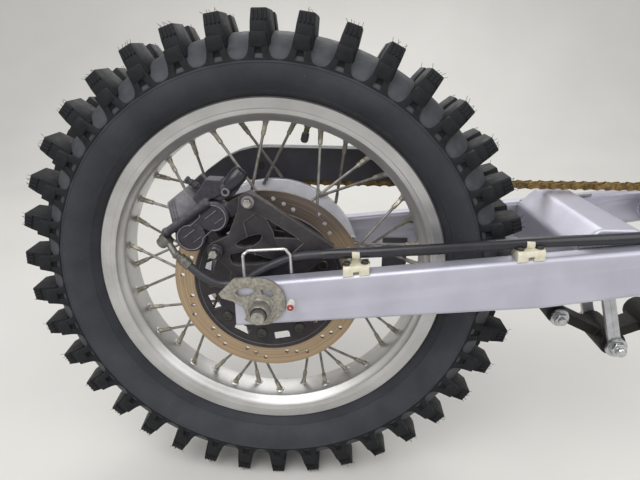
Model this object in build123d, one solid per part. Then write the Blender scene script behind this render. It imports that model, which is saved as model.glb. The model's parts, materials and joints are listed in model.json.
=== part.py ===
from build123d import *
import math
import os

# Rear wheel and swingarm of a dual sport motorcycle, in millimetres.
# Origin on the swingarm pivot, +X forward, +Y to the left side, +Z up.
# What sits on or about the wheel is drawn about the wheel's centre and then moved to the axle.

# Clearances
FIT = 0.05
SEAT_GAP = 0.3
CHAIN_GAP = 0.7

# Axle place from the pivot
AXLE_X = -585.0
AXLE_Z = -68.0

# Swingarm
ARM_OUTER_Y = 126.0
ARM_THICK = 24.0
ARM_EDGE_R = 6.0
ARM_BEHIND_AXLE = 32.0
ARM_SLOPE_TOP = 0.1105
ARM_SLOPE_BOTTOM = 0.088
ARM_ABOVE_AXLE = 32.0
ARM_BELOW_AXLE = 26.0
ARM_BEND_X = -246.0
ARM_NECK_X = -8.0
ARM_NECK_INSET = 3.0
ARM_LONG_EDGE_COUNT = 6
PIVOT_BOSS_R = 27.0
AXLE_SLOT_LENGTH = 44.0
AXLE_SLOT_PLAY = 0.2

# Cross member, a casting between the arms ahead of the tyre
CROSS_BACK_X = -212.0
CROSS_FRONT_X = -92.0
CROSS_LOW_Z = -50.0
CROSS_TOP_Z = 30.0
CROSS_BACK_CHAMFER = 26.0
CROSS_FRONT_SLOPE = 52.0
CROSS_FRONT_DROP = 30.0

# Pivot
PIVOT_BOLT_R = 7.5
PIVOT_SLEEVE_R = 11.0
PIVOT_BUSH_R = 15.0
PIVOT_TUBE_R = 24.0
PIVOT_TUBE_WALL = 5.0
PIVOT_CAP_R = 21.0
PIVOT_CAP_THICK = 5.0
SLEEVE_PROUD = 1.0

# Axle and its fittings
AXLE_R = 8.0
AXLE_NUT_FLATS = 24.0
AXLE_NUT_THICK = 14.0
AXLE_HEAD_THICK = 10.0
AXLE_TAIL = 10.0
WASHER_R = 15.5
WASHER_THICK = 2.5
SPACER_R = 13.0

# Snail cam that sets the chain: a disc about CAM_CENTRE with a beak to the back
CAM_THICK = 4.5
CAM_R = 31.5
CAM_CENTRE = (-1.0, 8.5)
CAM_BEAK = [(-50.6, 18.3), (-31.5, 38.2), (-10.4, 40.8), (-1.0, 8.5), (-32.5, 8.3), (-47.6, 12.7)]
CAM_NOTCH = [(-34.0, 8.0), (-21.7, 1.9), (-18.2, -11.5), (-26.0, -24.0), (-45.0, -10.0)]
CAM_EYES = [(-18.3, 21.2, 24.0, 12.5, 8.0), (8.6, 20.6, 17.5, 9.0, -22.0)]  # x, z, length, width, tilt
STOP_PIN_R = 4.6
STOP_PIN_LENGTH = 8.0
STOP_PIN_X = 37.0
STOP_PIN_Z = 6.0

# Tyre, 120/90-18: one flat facet of the carcass from row to row, and in each row a ribbed knob on each side
TYRE_R = 341.0
TYRE_HALF_WIDTH = 60.0
TREAD_ROWS = 38
FIRST_ROW_ANGLE = -89.6
CROWN_R = 318.0
TREAD_EDGE = (306.0, 42.5)  # radius, y
SHOULDER_R = 284.0
SIDEWALL_BEND = (263.0, 56.0)
CAVITY_TOP = (297.0, 36.0)
CAVITY_WIDEST = (264.0, 44.0)
KNOB_TOP_Y = (15.0, 44.0)
KNOB_FOOT_Y = 50.5
KNOB_ROOT = [(38.0, 304.0), (15.0, 305.0)]  # y, radius
KNOB_TOP_X = (-8.6, 12.6)
STEP_R = 313.5
STEP_X = (-9.4, 13.4)
RIB_DROP = 0.6
RIB_FOOT_R = 281.0
RIB_FOOT_X = 19.5
RIB_ROOT_Y = 46.0
BEAD_R = 228.6
BEAD_GAP = 1.0
BEAD_WIDTH = 14.0

# Rim, each size measured from the bead seat
RIM_FLANGE_HEIGHT = 12.9
RIM_STEP_DROP = 4.6
RIM_WELL_DEPTH = 19.1
RIM_WELL_CROWN = 2.5
RIM_HALF_WIDTH = 33.5
WELL_HALF_WIDTH = 25.5
RIM_WALL = 3.0

# Spokes
SPOKE_R = 2.0
PAIRS_PER_SIDE = 9
NIPPLE_R = 3.2
NIPPLE_LENGTH = 19.0
NIPPLE_SIDE_Y = 7.0
NIPPLE_SEAT_ALLOWANCE = 1.1
RIM_PAIR_SPREAD = 10.0
RIGHT_PAIR_ANGLE = 61.0
RIGHT_HOLE_INSET = 7.0
RIGHT_HOLE_SPREAD = 17.0
LEFT_PAIR_ANGLE = 51.0
LEFT_HOLE_INSET = 3.5
LEFT_HOLE_SPREAD = 6.0

# Valve
VALVE_ANGLE = 76.0
VALVE_STEM_R = 3.0
VALVE_CAP_R = 4.4
VALVE_CAP_LENGTH = 12.0
VALVE_LENGTH = 24.0

# Hub
RIGHT_FLANGE_R = 84.0
RIGHT_FLANGE_Y = -38.0
FLANGE_THICK = 6.0
LEFT_FLANGE_R = 122.5
LEFT_FLANGE_Y = 28.0
LEFT_FLANGE_THICK = 12.0
BARREL_R = 31.0
BARREL_FLARE = 12.0
CUSH_R = 78.0
BEARING_R = 18.0
BEARING_WIDTH = 12.0
HUB_NECK_R = 36.0
BOSS_FLATS = 14.0

# Brake disc on its carrier
DISC_R = 128.0
DISC_INNER_R = 102.0
DISC_THICK = 4.5
DISC_RIGHT_Y = -57.0
DISC_GROUPS = 12
DISC_HOLE_R = 3.0
DISC_HOLES = [(109.0, -7.0), (113.0, 0.0), (118.0, 7.0)]  # radius, angle in the group
DISC_GROUP_ANGLE = 18.5
CARRIER_THICK = 5.0
CARRIER_PROUD = 1.0
CARRIER_INNER_R = 24.0
CARRIER_BOLTS = 9
CARRIER_BOLT_PCR = 78.0
CARRIER_BOLT_FLATS = 11.0
CARRIER_BOLT_HEIGHT = 2.5
WINDOW_R = 82.0
WINDOW_WIDTH = 12.0
WINDOW_LENGTH = 22.0

# Chain and sprockets
CHAIN_PITCH = 15.875
CHAIN_Y = 75.0
CHAIN_HEIGHT = 14.0
CHAIN_INNER_WIDTH = 6.4
CHAIN_WIDTH = 16.0
CHAIN_BAND_WIDTH = 12.4
REAR_WRAP_FACETS = 11
FRONT_WRAP_FACETS = 5
PLATE_LENGTH = 22.5
PLATE_HEIGHT = 11.0
PLATE_SINK = 0.2
SLOT_CLEAR = 2.0
REAR_TEETH = 44
FRONT_TEETH = 13
FRONT_SPROCKET_X = 75.0
FRONT_SPROCKET_Z = 5.0
SPROCKET_THICK = 5.8
SPROCKET_BORE_R = 32.0
SPROCKET_BOLTS = 6
SPROCKET_BOLT_PCR = 62.0
SPROCKET_BOLT_FLATS = 12.0
SPROCKET_BOLT_HEIGHT = 6.0
TOOTH = [(-0.36, -4.6), (-0.17, 1.6), (-0.08, 4.0), (0.08, 4.0), (0.17, 1.6), (0.36, -4.6)]  # share, height

# Chain guard, from the wheel's centre
GUARD_TOP = [(-123.0, 118.0), (-106.0, 131.0), (-80.6, 149.0), (-56.2, 160.0), (-34.6, 165.5),
             (-10.0, 166.0), (250.0, 162.5)]
GUARD_LOW_Z = 120.0
GUARD_PLATE_Y = 65.0
GUARD_PLATE_THICK = 2.5
GUARD_OUTER_Y = 90.0
GUARD_LIP = 3.0
GUARD_STAYS_X = [-25.0, 215.0]
GUARD_STAY_WIDTH = 18.0
GUARD_STAY_DROP = 1.0
GUARD_TAIL = 20.0

# Chain guide under the left arm, and the rubber strip over the pivot tube
GUIDE_X = 185.0
GUIDE_LENGTH = 64.0
GUIDE_SIDE = 5.0
GUIDE_FLOOR = 8.0
GUIDE_PLATE = 3.0
GUIDE_PLATE_WIDTH = 40.0
GUIDE_PLATE_LAP = 20.0
SLIDER_R = 30.5
SLIDER_WIDTH = 22.0

# Caliper, drawn in its own axes: t along the pair of pistons, r outwards from the axle
CALIPER_X = -76.7
CALIPER_Z = 88.1
CALIPER_TILT = 41.0
PISTON_SPACING = 40.0
PISTON_WALL_R = 19.5
PISTON_CAP_R = 16.0
PISTON_CAP_HEIGHT = 2.5
DISC_SIDE_GAP = 7.0
DISC_EDGE_GAP = 5.5
CALIPER_OUTER_THICK = 24.0
CALIPER_INNER_THICK = 10.0
CALIPER_INNER_LOW = -2.0
CALIPER_HALF_LENGTH = 32.0
CALIPER_BLOCK = (-30.0, 30.0, -4.0, 22.0)  # t low, t high, r low, r high
BRIDGE = (-30.0, 16.0, 21.0, 49.0)
RIDGE_R = 5.5
RIDGE_MIDDLE = (-5.5, 20.5)  # t, r
RIDGE_LENGTH = 71.0
RIDGE_TILT = -5.6
RIDGE_END_T = -41.0
BRIDGE_SET_BACK = 4.5
PLUG_BLOCK = (20.0, 54.0, 12.0, 37.0)
EAR_BOSS = (-33.0, 146.0)
EAR_BOSS_R = 11.0
EAR_BOSS_PROUD = 3.0
EAR_NECK = (44.0, 66.0, 12.0, 27.0)
PAD_TOP_DROP = 1.0
PAD_LENGTH = 66.0
PAD_WIDTH = 24.0
PAD_GAP = 0.4

# Bleed nipple, t and r of its foot and its tip
NIPPLE_FOOT = (28.0, 38.1)
NIPPLE_TIP = (24.0, 56.0)
NIPPLE_Y = -72.0
BLEED_R = 4.0

# Slide pins, and the bracket that carries them
UPPER_PIN = (-17.0, 122.0)
LOWER_PIN = (-61.0, 58.0)
PIN_R = 4.0
PIN_BOSS_R = 9.0
PIN_HEAD_FLATS = 12.0
PIN_HEAD_THICK = 6.0
BRACKET_OUTER_Y = -89.5
BRACKET_THICK = 10.0
BRACKET_BOSS_R = 20.0
BRACKET_EYE_R = 10.5
BRACKET_COLLAR_R = 16.0
BRACKET_OUTLINE = [(-18.0, 4.0), (-58.0, 46.0), (-71.0, 54.0), (-66.0, 68.0), (-44.0, 78.0), (-30.0, 112.0),
                   (-28.0, 128.0), (-17.0, 134.0), (-4.0, 128.0), (88.0, 66.0), (84.0, 55.0), (18.0, 4.0)]
BRACKET_OPENING = [(-17.0, 62.0), (-24.0, 96.0), (-8.0, 108.0), (50.0, 70.0), (24.0, 44.0), (0.0, 40.0)]

# Brake hose, points about the wheel's centre
HOSE_R = 5.2
BEND_SHARE = 0.45
BANJO_BOLT_R = 5.0
BANJO_R = 9.0
BANJO_THICK = 8.0
BANJO_BOLT_FLATS = 14.0
BANJO_BOLT_HEAD = 7.0
BANJO_NECK_R = 4.5
NECK_INTO_FERRULE = 0.5
NECK_INTO_EYE = 1.5
FERRULE_R = 6.8
FERRULE_LENGTH = 22.0
REAR_BANJO_R_PLACE = 18.0
REAR_BANJO_Y = -86.0
REAR_BANJO_STAND = 0.9
FRONT_BANJO = (577.0, -103.0, 109.0)
HOSE_POINTS = [(-94.0, -97.5, 41.5), (-78.0, -99.0, 27.0), (-58.0, -98.0, 15.5), (-34.0, -96.6, 16.5),
               (-12.0, -96.3, 30.0), (8.0, -96.3, 42.0), (31.0, -96.4, 52.6), (50.0, -97.2, 56.8),
               (92.0, -106.8, 64.2), (135.0, -109.3, 67.4), (190.0, -110.5, 71.2), (250.0, -111.0, 76.6),
               (310.0, -111.5, 83.0), (370.0, -112.0, 87.0), (430.0, -112.0, 90.2), (488.0, -110.0, 97.0),
               (540.0, -106.0, 104.0)]
SLEEVE_R = 6.6
SLEEVE_FIRST = 8
SLEEVE_LAST = 14
SLEEVE_START_SHARE = 0.55
SLEEVE_END_SHARE = 0.5

# Hose clamps on the arm, x from the wheel's centre
CLAMP_X = [114.5, 315.0]
CLAMP_BASE_LENGTH = 31.0
CLAMP_BASE_WIDTH = 15.0
CLAMP_BASE_HEIGHT = 4.5
CLAMP_BAND = 1.8
CLAMP_BAND_PLAY = 0.15
CLAMP_BAND_WIDTH = 8.0
CLAMP_BOLT_R = 3.6
CLAMP_BOLT_INSET = 4.6
CLAMP_BOLT_HEIGHT = 2.0

# Wire guard that keeps the hose off the axle nut
WIRE_R = 2.0
WIRE_Y = -104.3
WIRE_POINTS = [(-23.2, 0.0), (-23.7, 59.0), (-17.0, 65.0), (28.6, 68.0), (34.5, 60.0), (35.7, 0.0)]
WIRE_BEND_R = 5.0

# Rising-rate linkage under the cross member, from the pivot
RELAY_SHOCK = (-178.0, -127.0)
RELAY_ROD = (-99.0, -165.0)
RELAY_FRAME = (-40.0, -138.0)
RELAY_SHOCK_R = 14.0
RELAY_ROD_R = 18.0
RELAY_FRAME_R = 19.0
RELAY_WEB_HALF = 16.0
RELAY_SHOCK_HALF = 20.0
RELAY_ROD_HALF = 34.0
RELAY_FRAME_HALF = 28.0
RELAY_FRAME_BORE_R = 8.0
ROD_TOP = (-131.0, -64.0)
ROD_WIDTH = 16.0
ROD_THICK = 8.0
LUG_R = 14.0
LINK_BOLT_R = 5.0
LINK_BOLT_FLATS = 17.0
LINK_BOLT_HEAD = 8.0
LINK_BOLT_TAIL = 4.0
SHOCK_FORK_ROOM = 9.0

REAR_PITCH_R = CHAIN_PITCH / (2 * math.sin(math.pi / REAR_TEETH))
FRONT_PITCH_R = CHAIN_PITCH / (2 * math.sin(math.pi / FRONT_TEETH))
ARM_INNER_Y = ARM_OUTER_Y - ARM_THICK
ARM_BACK_X = AXLE_X - ARM_BEHIND_AXLE
RIM_R = BEAD_R + RIM_FLANGE_HEIGHT
RIM_STEP_R = BEAD_R - RIM_STEP_DROP
WELL_R = BEAD_R - RIM_WELL_DEPTH
DISC_LEFT_Y = DISC_RIGHT_Y + DISC_THICK
CARRIER_RIGHT_Y = DISC_RIGHT_Y - CARRIER_PROUD
CARRIER_LEFT_Y = CARRIER_RIGHT_Y + CARRIER_THICK
SPROCKET_RIGHT_Y = CHAIN_Y - SPROCKET_THICK / 2
SPROCKET_LEFT_Y = CHAIN_Y + SPROCKET_THICK / 2
BRACKET_INNER_Y = BRACKET_OUTER_Y + BRACKET_THICK
WHEEL = Location((AXLE_X, 0, AXLE_Z))


def on_axle(shape):
    """Move a shape drawn about the wheel's centre to the axle."""
    return WHEEL * shape


def turned(section):
    """Revolve a closed outline of (radius, y) points about the wheel's axis."""
    return revolve(make_face(Polyline(*section, close=True)), axis=Axis.Y)


def along_y(sketch, y_low, y_high):
    """Extrude a sketch drawn in x and z from y_low to y_high."""
    return extrude(Plane.XZ.offset(-y_high) * sketch, amount=y_high - y_low, dir=(0, -1, 0))


def slab(outline, y_low, y_high):
    """Extrude a closed outline of (x, z) points from y_low to y_high."""
    return along_y(make_face(Polyline(*outline, close=True)), y_low, y_high)


def round_y(radius, y_low, y_high, x=0.0, z=0.0):
    """A cylinder along Y."""
    return along_y(Pos(x, z) * Circle(radius), y_low, y_high)


def ring_y(outer_r, inner_r, y_low, y_high, x=0.0, z=0.0):
    """A tube along Y."""
    return along_y(Pos(x, z) * (Circle(outer_r) - Circle(inner_r)), y_low, y_high)


def hexagon_y(flats, y_low, y_high, x=0.0, z=0.0):
    """A hexagonal bar along Y, sized across its flats."""
    return along_y(Pos(x, z) * RegularPolygon(flats / math.sqrt(3), 6), y_low, y_high)


def bar(start, end, section):
    """A straight bar of the section sketch from one point to another."""
    start = Vector(*start)
    end = Vector(*end)
    return extrude(Plane(origin=start, z_dir=end - start) * section, amount=(end - start).length)


def polar(radius, degrees, y=0.0):
    """A point at a radius and angle about the wheel's centre, 0 degrees forward."""
    a = math.radians(degrees)
    return (radius * math.cos(a), y, radius * math.sin(a))


def mirrored(shape):
    return mirror(shape, about=Plane.XZ)


def arm_top(x):
    return AXLE_Z + ARM_ABOVE_AXLE + ARM_SLOPE_TOP * (x - AXLE_X)


def arm_bottom(x):
    return AXLE_Z - ARM_BELOW_AXLE + ARM_SLOPE_BOTTOM * (x - AXLE_X)


def arm():
    """The right arm: tapered beam, round pivot boss, bush bore and axle slot."""
    neck_z = PIVOT_BOSS_R - ARM_NECK_INSET
    beam = [
        (ARM_BACK_X, arm_top(ARM_BACK_X)),
        (-PIVOT_BOSS_R, arm_top(-PIVOT_BOSS_R)),
        (ARM_NECK_X, neck_z),
        (ARM_NECK_X, -neck_z),
        (ARM_BEND_X, arm_bottom(ARM_BEND_X)),
        (ARM_BACK_X, arm_bottom(ARM_BACK_X)),
    ]
    face = make_face(Polyline(*beam, close=True)) + Circle(PIVOT_BOSS_R)
    face -= Circle(PIVOT_BUSH_R + FIT)
    face -= Pos(AXLE_X, AXLE_Z) * SlotOverall(AXLE_SLOT_LENGTH, 2 * (AXLE_R + AXLE_SLOT_PLAY))
    body = along_y(face, -ARM_OUTER_Y, -ARM_INNER_Y)
    by_length = body.edges().filter_by(GeomType.LINE).sort_by(SortBy.LENGTH)
    return fillet(by_length[-ARM_LONG_EDGE_COUNT:], ARM_EDGE_R)


def cross_member():
    """Casting between the arms, with the lug for the linkage rods under it."""
    outline = [
        (CROSS_BACK_X, CROSS_LOW_Z),
        (CROSS_BACK_X, CROSS_TOP_Z - CROSS_BACK_CHAMFER),
        (CROSS_BACK_X + CROSS_BACK_CHAMFER, CROSS_TOP_Z),
        (CROSS_FRONT_X - CROSS_FRONT_SLOPE, CROSS_TOP_Z),
        (CROSS_FRONT_X, CROSS_TOP_Z - CROSS_FRONT_DROP),
        (CROSS_FRONT_X, CROSS_LOW_Z),
    ]
    casting = slab(outline, -ARM_INNER_Y, ARM_INNER_Y)
    x, z = ROD_TOP
    lug = Pos(x, z) * Circle(LUG_R)
    lug += Pos(x, (z + CROSS_LOW_Z) / 2) * Rectangle(2 * LUG_R, CROSS_LOW_Z - z)
    lug -= Pos(x, z) * Circle(LINK_BOLT_R + FIT)
    return casting + along_y(lug, -RELAY_ROD_HALF, RELAY_ROD_HALF)


def pivot_tube():
    return ring_y(PIVOT_TUBE_R, PIVOT_TUBE_R - PIVOT_TUBE_WALL, -ARM_INNER_Y, ARM_INNER_Y)


def pivot_sleeve():
    reach = ARM_OUTER_Y + PIVOT_CAP_THICK + SLEEVE_PROUD
    return ring_y(PIVOT_SLEEVE_R, PIVOT_BOLT_R, -reach, reach)


def pivot_bushes():
    """Flanged bushes that turn on the sleeve, one in each arm."""
    section = [
        (PIVOT_SLEEVE_R + FIT, -ARM_OUTER_Y - PIVOT_CAP_THICK),
        (PIVOT_CAP_R, -ARM_OUTER_Y - PIVOT_CAP_THICK),
        (PIVOT_CAP_R, -ARM_OUTER_Y),
        (PIVOT_BUSH_R, -ARM_OUTER_Y),
        (PIVOT_BUSH_R, -ARM_INNER_Y),
        (PIVOT_SLEEVE_R + FIT, -ARM_INNER_Y),
    ]
    bush = turned(section)
    return Compound([bush, mirrored(bush)])


def eye(x, z, length, width, tilt):
    """An eye-shaped opening, eight points on an ellipse."""
    points = [(length / 2 * math.cos(a), width / 2 * math.sin(a))
              for a in (math.radians(45.0 * k) for k in range(8))]
    return Pos(x, z) * Rot(0, 0, tilt) * make_face(Polyline(*points, close=True))


def snail_cam():
    """Chain adjuster: a disc with a beak, set off the axle's centre, with two eyes."""
    plate = Pos(*CAM_CENTRE) * Circle(CAM_R) + make_face(Polyline(*CAM_BEAK, close=True))
    plate -= make_face(Polyline(*CAM_NOTCH, close=True))
    for x, z, length, width, tilt in CAM_EYES:
        plate -= eye(x, z, length, width, tilt)
    plate -= Circle(AXLE_R + FIT)
    return along_y(plate, -ARM_OUTER_Y - CAM_THICK, -ARM_OUTER_Y)


def stopper_pin():
    return round_y(STOP_PIN_R, -ARM_OUTER_Y - STOP_PIN_LENGTH, -ARM_OUTER_Y, STOP_PIN_X, STOP_PIN_Z)


def axle():
    """Axle with its thread to the right and its head on the left."""
    seat = ARM_OUTER_Y + CAM_THICK + WASHER_THICK
    shaft = round_y(AXLE_R, -seat - AXLE_NUT_THICK - AXLE_TAIL, seat)
    return shaft + hexagon_y(AXLE_NUT_FLATS, seat, seat + AXLE_HEAD_THICK)


def washers():
    low = -ARM_OUTER_Y - CAM_THICK - WASHER_THICK
    ring = ring_y(WASHER_R, AXLE_R + FIT, low, low + WASHER_THICK)
    return Compound([ring, mirrored(ring)])


def axle_nut():
    high = -ARM_OUTER_Y - CAM_THICK - WASHER_THICK
    face = RegularPolygon(AXLE_NUT_FLATS / math.sqrt(3), 6) - Circle(AXLE_R + FIT)
    return along_y(face, high - AXLE_NUT_THICK, high)


def spacers():
    """Tubes on the axle between the hub and what sits inside each arm."""
    left = ring_y(SPACER_R, AXLE_R + FIT, SPROCKET_RIGHT_Y + SEAT_GAP, ARM_INNER_Y)
    right = ring_y(SPACER_R, AXLE_R + FIT, BRACKET_INNER_Y + SEAT_GAP, CARRIER_LEFT_Y - SEAT_GAP)
    return Compound([left, right])


def faceted_ring(section, sides, first_angle):
    """A closed outline of (radius, y) points carried round the axle in flat facets."""
    angles = [first_angle + n * 360.0 / sides for n in range(sides)]
    rings = [[Vector(*polar(r, angle, y)) for r, y in section] for angle in angles]
    faces = []
    for near, far in zip(rings, rings[1:] + rings[:1]):
        for i, corner in enumerate(near):
            j = (i + 1) % len(near)
            faces.append(Face(Wire.make_polygon([corner, near[j], far[j], far[i]], close=True)))
    return Solid(Shell(faces))


def carcass():
    """Hollow casing with beads seated on the rim; its corners lie under the rows."""
    seat_y = RIM_HALF_WIDTH - RIM_WALL - SEAT_GAP
    outer = [
        (BEAD_R + BEAD_GAP, seat_y - BEAD_WIDTH),
        (BEAD_R + BEAD_GAP, seat_y),
        (RIM_R + BEAD_GAP, seat_y),
        SIDEWALL_BEND,
        (SHOULDER_R, TYRE_HALF_WIDTH),
        TREAD_EDGE,
    ]
    cavity = [CAVITY_TOP, CAVITY_WIDEST]
    section = [(r, -y) for r, y in outer] + [(CROWN_R, 0.0)] + [(r, y) for r, y in reversed(outer)]
    section += [(r, y) for r, y in reversed(cavity)] + [(r, -y) for r, y in cavity]
    return faceted_ring(section, TREAD_ROWS, FIRST_ROW_ANGLE)


def knob():
    """A row's right knob with its step and rib, at the top of the wheel; its front is wider than its back."""
    top_r = math.sqrt(TYRE_R ** 2 - KNOB_TOP_X[1] ** 2)
    side = [(-RIB_FOOT_X, RIB_FOOT_R), (STEP_X[0], STEP_R), (KNOB_TOP_X[0], top_r),
            (KNOB_TOP_X[1], top_r), (STEP_X[1], STEP_R), (RIB_FOOT_X, RIB_FOOT_R)]
    rib_y = TYRE_HALF_WIDTH - RIB_DROP
    across = [(KNOB_TOP_Y[0], top_r), (KNOB_TOP_Y[1], top_r), (KNOB_FOOT_Y, STEP_R), (rib_y, STEP_R),
              (rib_y, RIB_FOOT_R), (RIB_ROOT_Y, RIB_FOOT_R)] + KNOB_ROOT
    section = make_face(Polyline(*[(-y, r) for y, r in across], close=True))
    return slab(side, -rib_y, 0.0) & extrude(Plane.YZ * section, amount=RIB_FOOT_X, both=True)


def tyre():
    """Carcass with its rows of knobs."""
    right = knob()
    left = mirrored(right)
    knobs = []
    for row in range(TREAD_ROWS):
        turn = Rot(0, 90.0 - FIRST_ROW_ANGLE - row * 360.0 / TREAD_ROWS, 0)
        knobs += [turn * right, turn * left]
    return carcass() + knobs


def rim():
    """Rolled rim: crowned well in the middle, a bead seat and an upright flange on each side."""
    outer = [
        (RIM_R, RIM_HALF_WIDTH),
        (RIM_STEP_R, RIM_HALF_WIDTH),
        (WELL_R + RIM_WELL_CROWN, WELL_HALF_WIDTH),
    ]
    bed = [
        (WELL_R + RIM_WALL + RIM_WELL_CROWN, WELL_HALF_WIDTH - 2 * RIM_WALL),
        (BEAD_R, RIM_HALF_WIDTH - RIM_WALL),
        (RIM_R, RIM_HALF_WIDTH - RIM_WALL),
    ]
    section = outer + [(WELL_R, 0.0)] + [(p, -y) for p, y in reversed(outer)]
    section += [(p, -y) for p, y in reversed(bed)] + bed
    return turned(section)


def spoke_lines():
    """(hub point, rim point) of each spoke, in crossed pairs.

    Of each pair one spoke leaves the flange's inner face and the other its edge.
    """
    sides = [
        (RIGHT_PAIR_ANGLE, RIGHT_FLANGE_R, RIGHT_HOLE_INSET, RIGHT_HOLE_SPREAD,
         RIGHT_FLANGE_Y, RIGHT_FLANGE_Y + FLANGE_THICK, -1),
        (LEFT_PAIR_ANGLE, LEFT_FLANGE_R, LEFT_HOLE_INSET, LEFT_HOLE_SPREAD,
         LEFT_FLANGE_Y + LEFT_FLANGE_THICK, LEFT_FLANGE_Y, 1),
    ]
    off = SPOKE_R + SEAT_GAP
    seat_r = WELL_R + RIM_WELL_CROWN * NIPPLE_SIDE_Y / WELL_HALF_WIDTH - NIPPLE_SEAT_ALLOWANCE
    lines = []
    for pair_angle, flange_r, inset, spread, outer_y, inner_y, side in sides:
        for pair in range(PAIRS_PER_SIDE):
            middle = pair_angle + pair * 360.0 / PAIRS_PER_SIDE
            rim_y = side * NIPPLE_SIDE_Y
            inner_end = polar(flange_r - inset, middle + spread, inner_y - side * off)
            rim_end = polar(seat_r, middle - RIM_PAIR_SPREAD, rim_y)
            lines.append((Vector(*inner_end), Vector(*rim_end)))
            edge_end = polar(flange_r + off, middle - spread, (outer_y + inner_y) / 2)
            rim_end = polar(seat_r, middle + RIM_PAIR_SPREAD, rim_y)
            lines.append((Vector(*edge_end), Vector(*rim_end)))
    return lines


def spokes_and_nipples():
    wire = RegularPolygon(SPOKE_R, 6)
    shank = RegularPolygon(NIPPLE_R, 6)
    wires = []
    nipples = []
    for hub_end, rim_end in spoke_lines():
        along = (rim_end - hub_end).normalized()
        joint = rim_end - along * NIPPLE_LENGTH
        wires.append(on_axle(bar(hub_end, joint, wire)))
        nipples.append(on_axle(bar(joint, rim_end, shank)))
    return Compound(wires), Compound(nipples)


def valve():
    low = polar(WELL_R - VALVE_LENGTH, VALVE_ANGLE)
    mid = polar(WELL_R - VALVE_LENGTH + VALVE_CAP_LENGTH, VALVE_ANGLE)
    top = polar(WELL_R - SEAT_GAP, VALVE_ANGLE)
    return bar(mid, top, RegularPolygon(VALVE_STEM_R, 8)) + bar(low, mid, RegularPolygon(VALVE_CAP_R, 8))


def hub():
    """Cast hub: disc side on the right, large spoke flange and cush drum on the left."""
    section = [
        (BEARING_R, CARRIER_LEFT_Y),
        (HUB_NECK_R, CARRIER_LEFT_Y),
        (HUB_NECK_R, RIGHT_FLANGE_Y),
        (RIGHT_FLANGE_R, RIGHT_FLANGE_Y),
        (RIGHT_FLANGE_R, RIGHT_FLANGE_Y + FLANGE_THICK),
        (BARREL_R, RIGHT_FLANGE_Y + FLANGE_THICK),
        (BARREL_R, LEFT_FLANGE_Y - BARREL_FLARE),
        (BARREL_R + BARREL_FLARE, LEFT_FLANGE_Y),
        (LEFT_FLANGE_R, LEFT_FLANGE_Y),
        (LEFT_FLANGE_R, LEFT_FLANGE_Y + LEFT_FLANGE_THICK),
        (CUSH_R, LEFT_FLANGE_Y + LEFT_FLANGE_THICK),
        (CUSH_R, SPROCKET_RIGHT_Y),
        (BEARING_R, SPROCKET_RIGHT_Y),
    ]
    body = turned(section)
    bosses = []
    for number in range(CARRIER_BOLTS):
        x, _, z = polar(CARRIER_BOLT_PCR, RIGHT_PAIR_ANGLE + number * 360.0 / CARRIER_BOLTS)
        bosses.append(hexagon_y(BOSS_FLATS, CARRIER_LEFT_Y, RIGHT_FLANGE_Y + FLANGE_THICK / 2, x, z))
    return body + bosses


def wheel_bearings():
    right = ring_y(BEARING_R - FIT, AXLE_R + FIT, CARRIER_LEFT_Y, CARRIER_LEFT_Y + BEARING_WIDTH)
    left = ring_y(BEARING_R - FIT, AXLE_R + FIT, SPROCKET_RIGHT_Y - BEARING_WIDTH, SPROCKET_RIGHT_Y)
    return Compound([right, left])


def disc():
    """Brake track with twelve slanted rows of three holes."""
    face = Circle(DISC_R) - Circle(DISC_INNER_R)
    holes = []
    for group in range(DISC_GROUPS):
        for radius, shift in DISC_HOLES:
            x, _, z = polar(radius, DISC_GROUP_ANGLE + group * 360.0 / DISC_GROUPS + shift)
            holes.append(Pos(x, z) * RegularPolygon(DISC_HOLE_R, 6))
    return along_y(face - holes, DISC_RIGHT_Y, DISC_LEFT_Y)


def disc_carrier():
    """Black plate inside the brake track, with a window between each two of its bolts."""
    face = Circle(DISC_INNER_R - FIT) - Circle(CARRIER_INNER_R)
    step = 360.0 / CARRIER_BOLTS
    windows = []
    for number in range(CARRIER_BOLTS):
        angle = RIGHT_PAIR_ANGLE + (number + 0.5) * step
        x, _, z = polar(WINDOW_R, angle)
        windows.append(Pos(x, z) * Rot(0, 0, angle) * Rectangle(WINDOW_WIDTH, WINDOW_LENGTH))
    return along_y(face - windows, CARRIER_RIGHT_Y, CARRIER_LEFT_Y)


def carrier_bolts():
    bolts = []
    for number in range(CARRIER_BOLTS):
        x, _, z = polar(CARRIER_BOLT_PCR, RIGHT_PAIR_ANGLE + number * 360.0 / CARRIER_BOLTS)
        head = hexagon_y(CARRIER_BOLT_FLATS, CARRIER_RIGHT_Y - CARRIER_BOLT_HEIGHT, CARRIER_RIGHT_Y, x, z)
        bolts.append(on_axle(head))
    return Compound(bolts)


def sprocket():
    """Toothed ring: each tooth is six points of the outline."""
    step = 360.0 / REAR_TEETH
    outline = []
    for tooth in range(REAR_TEETH):
        for share, height in TOOTH:
            x, _, z = polar(REAR_PITCH_R + height, (tooth + share) * step)
            outline.append((x, z))
    face = make_face(Polyline(*outline, close=True)) - Circle(SPROCKET_BORE_R)
    return along_y(face, SPROCKET_RIGHT_Y, SPROCKET_LEFT_Y)


def sprocket_bolts():
    bolts = []
    for number in range(SPROCKET_BOLTS):
        x, _, z = polar(SPROCKET_BOLT_PCR, number * 360.0 / SPROCKET_BOLTS)
        nut = hexagon_y(SPROCKET_BOLT_FLATS, SPROCKET_LEFT_Y, SPROCKET_LEFT_Y + SPROCKET_BOLT_HEIGHT, x, z)
        bolts.append(on_axle(nut))
    return Compound(bolts)


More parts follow.
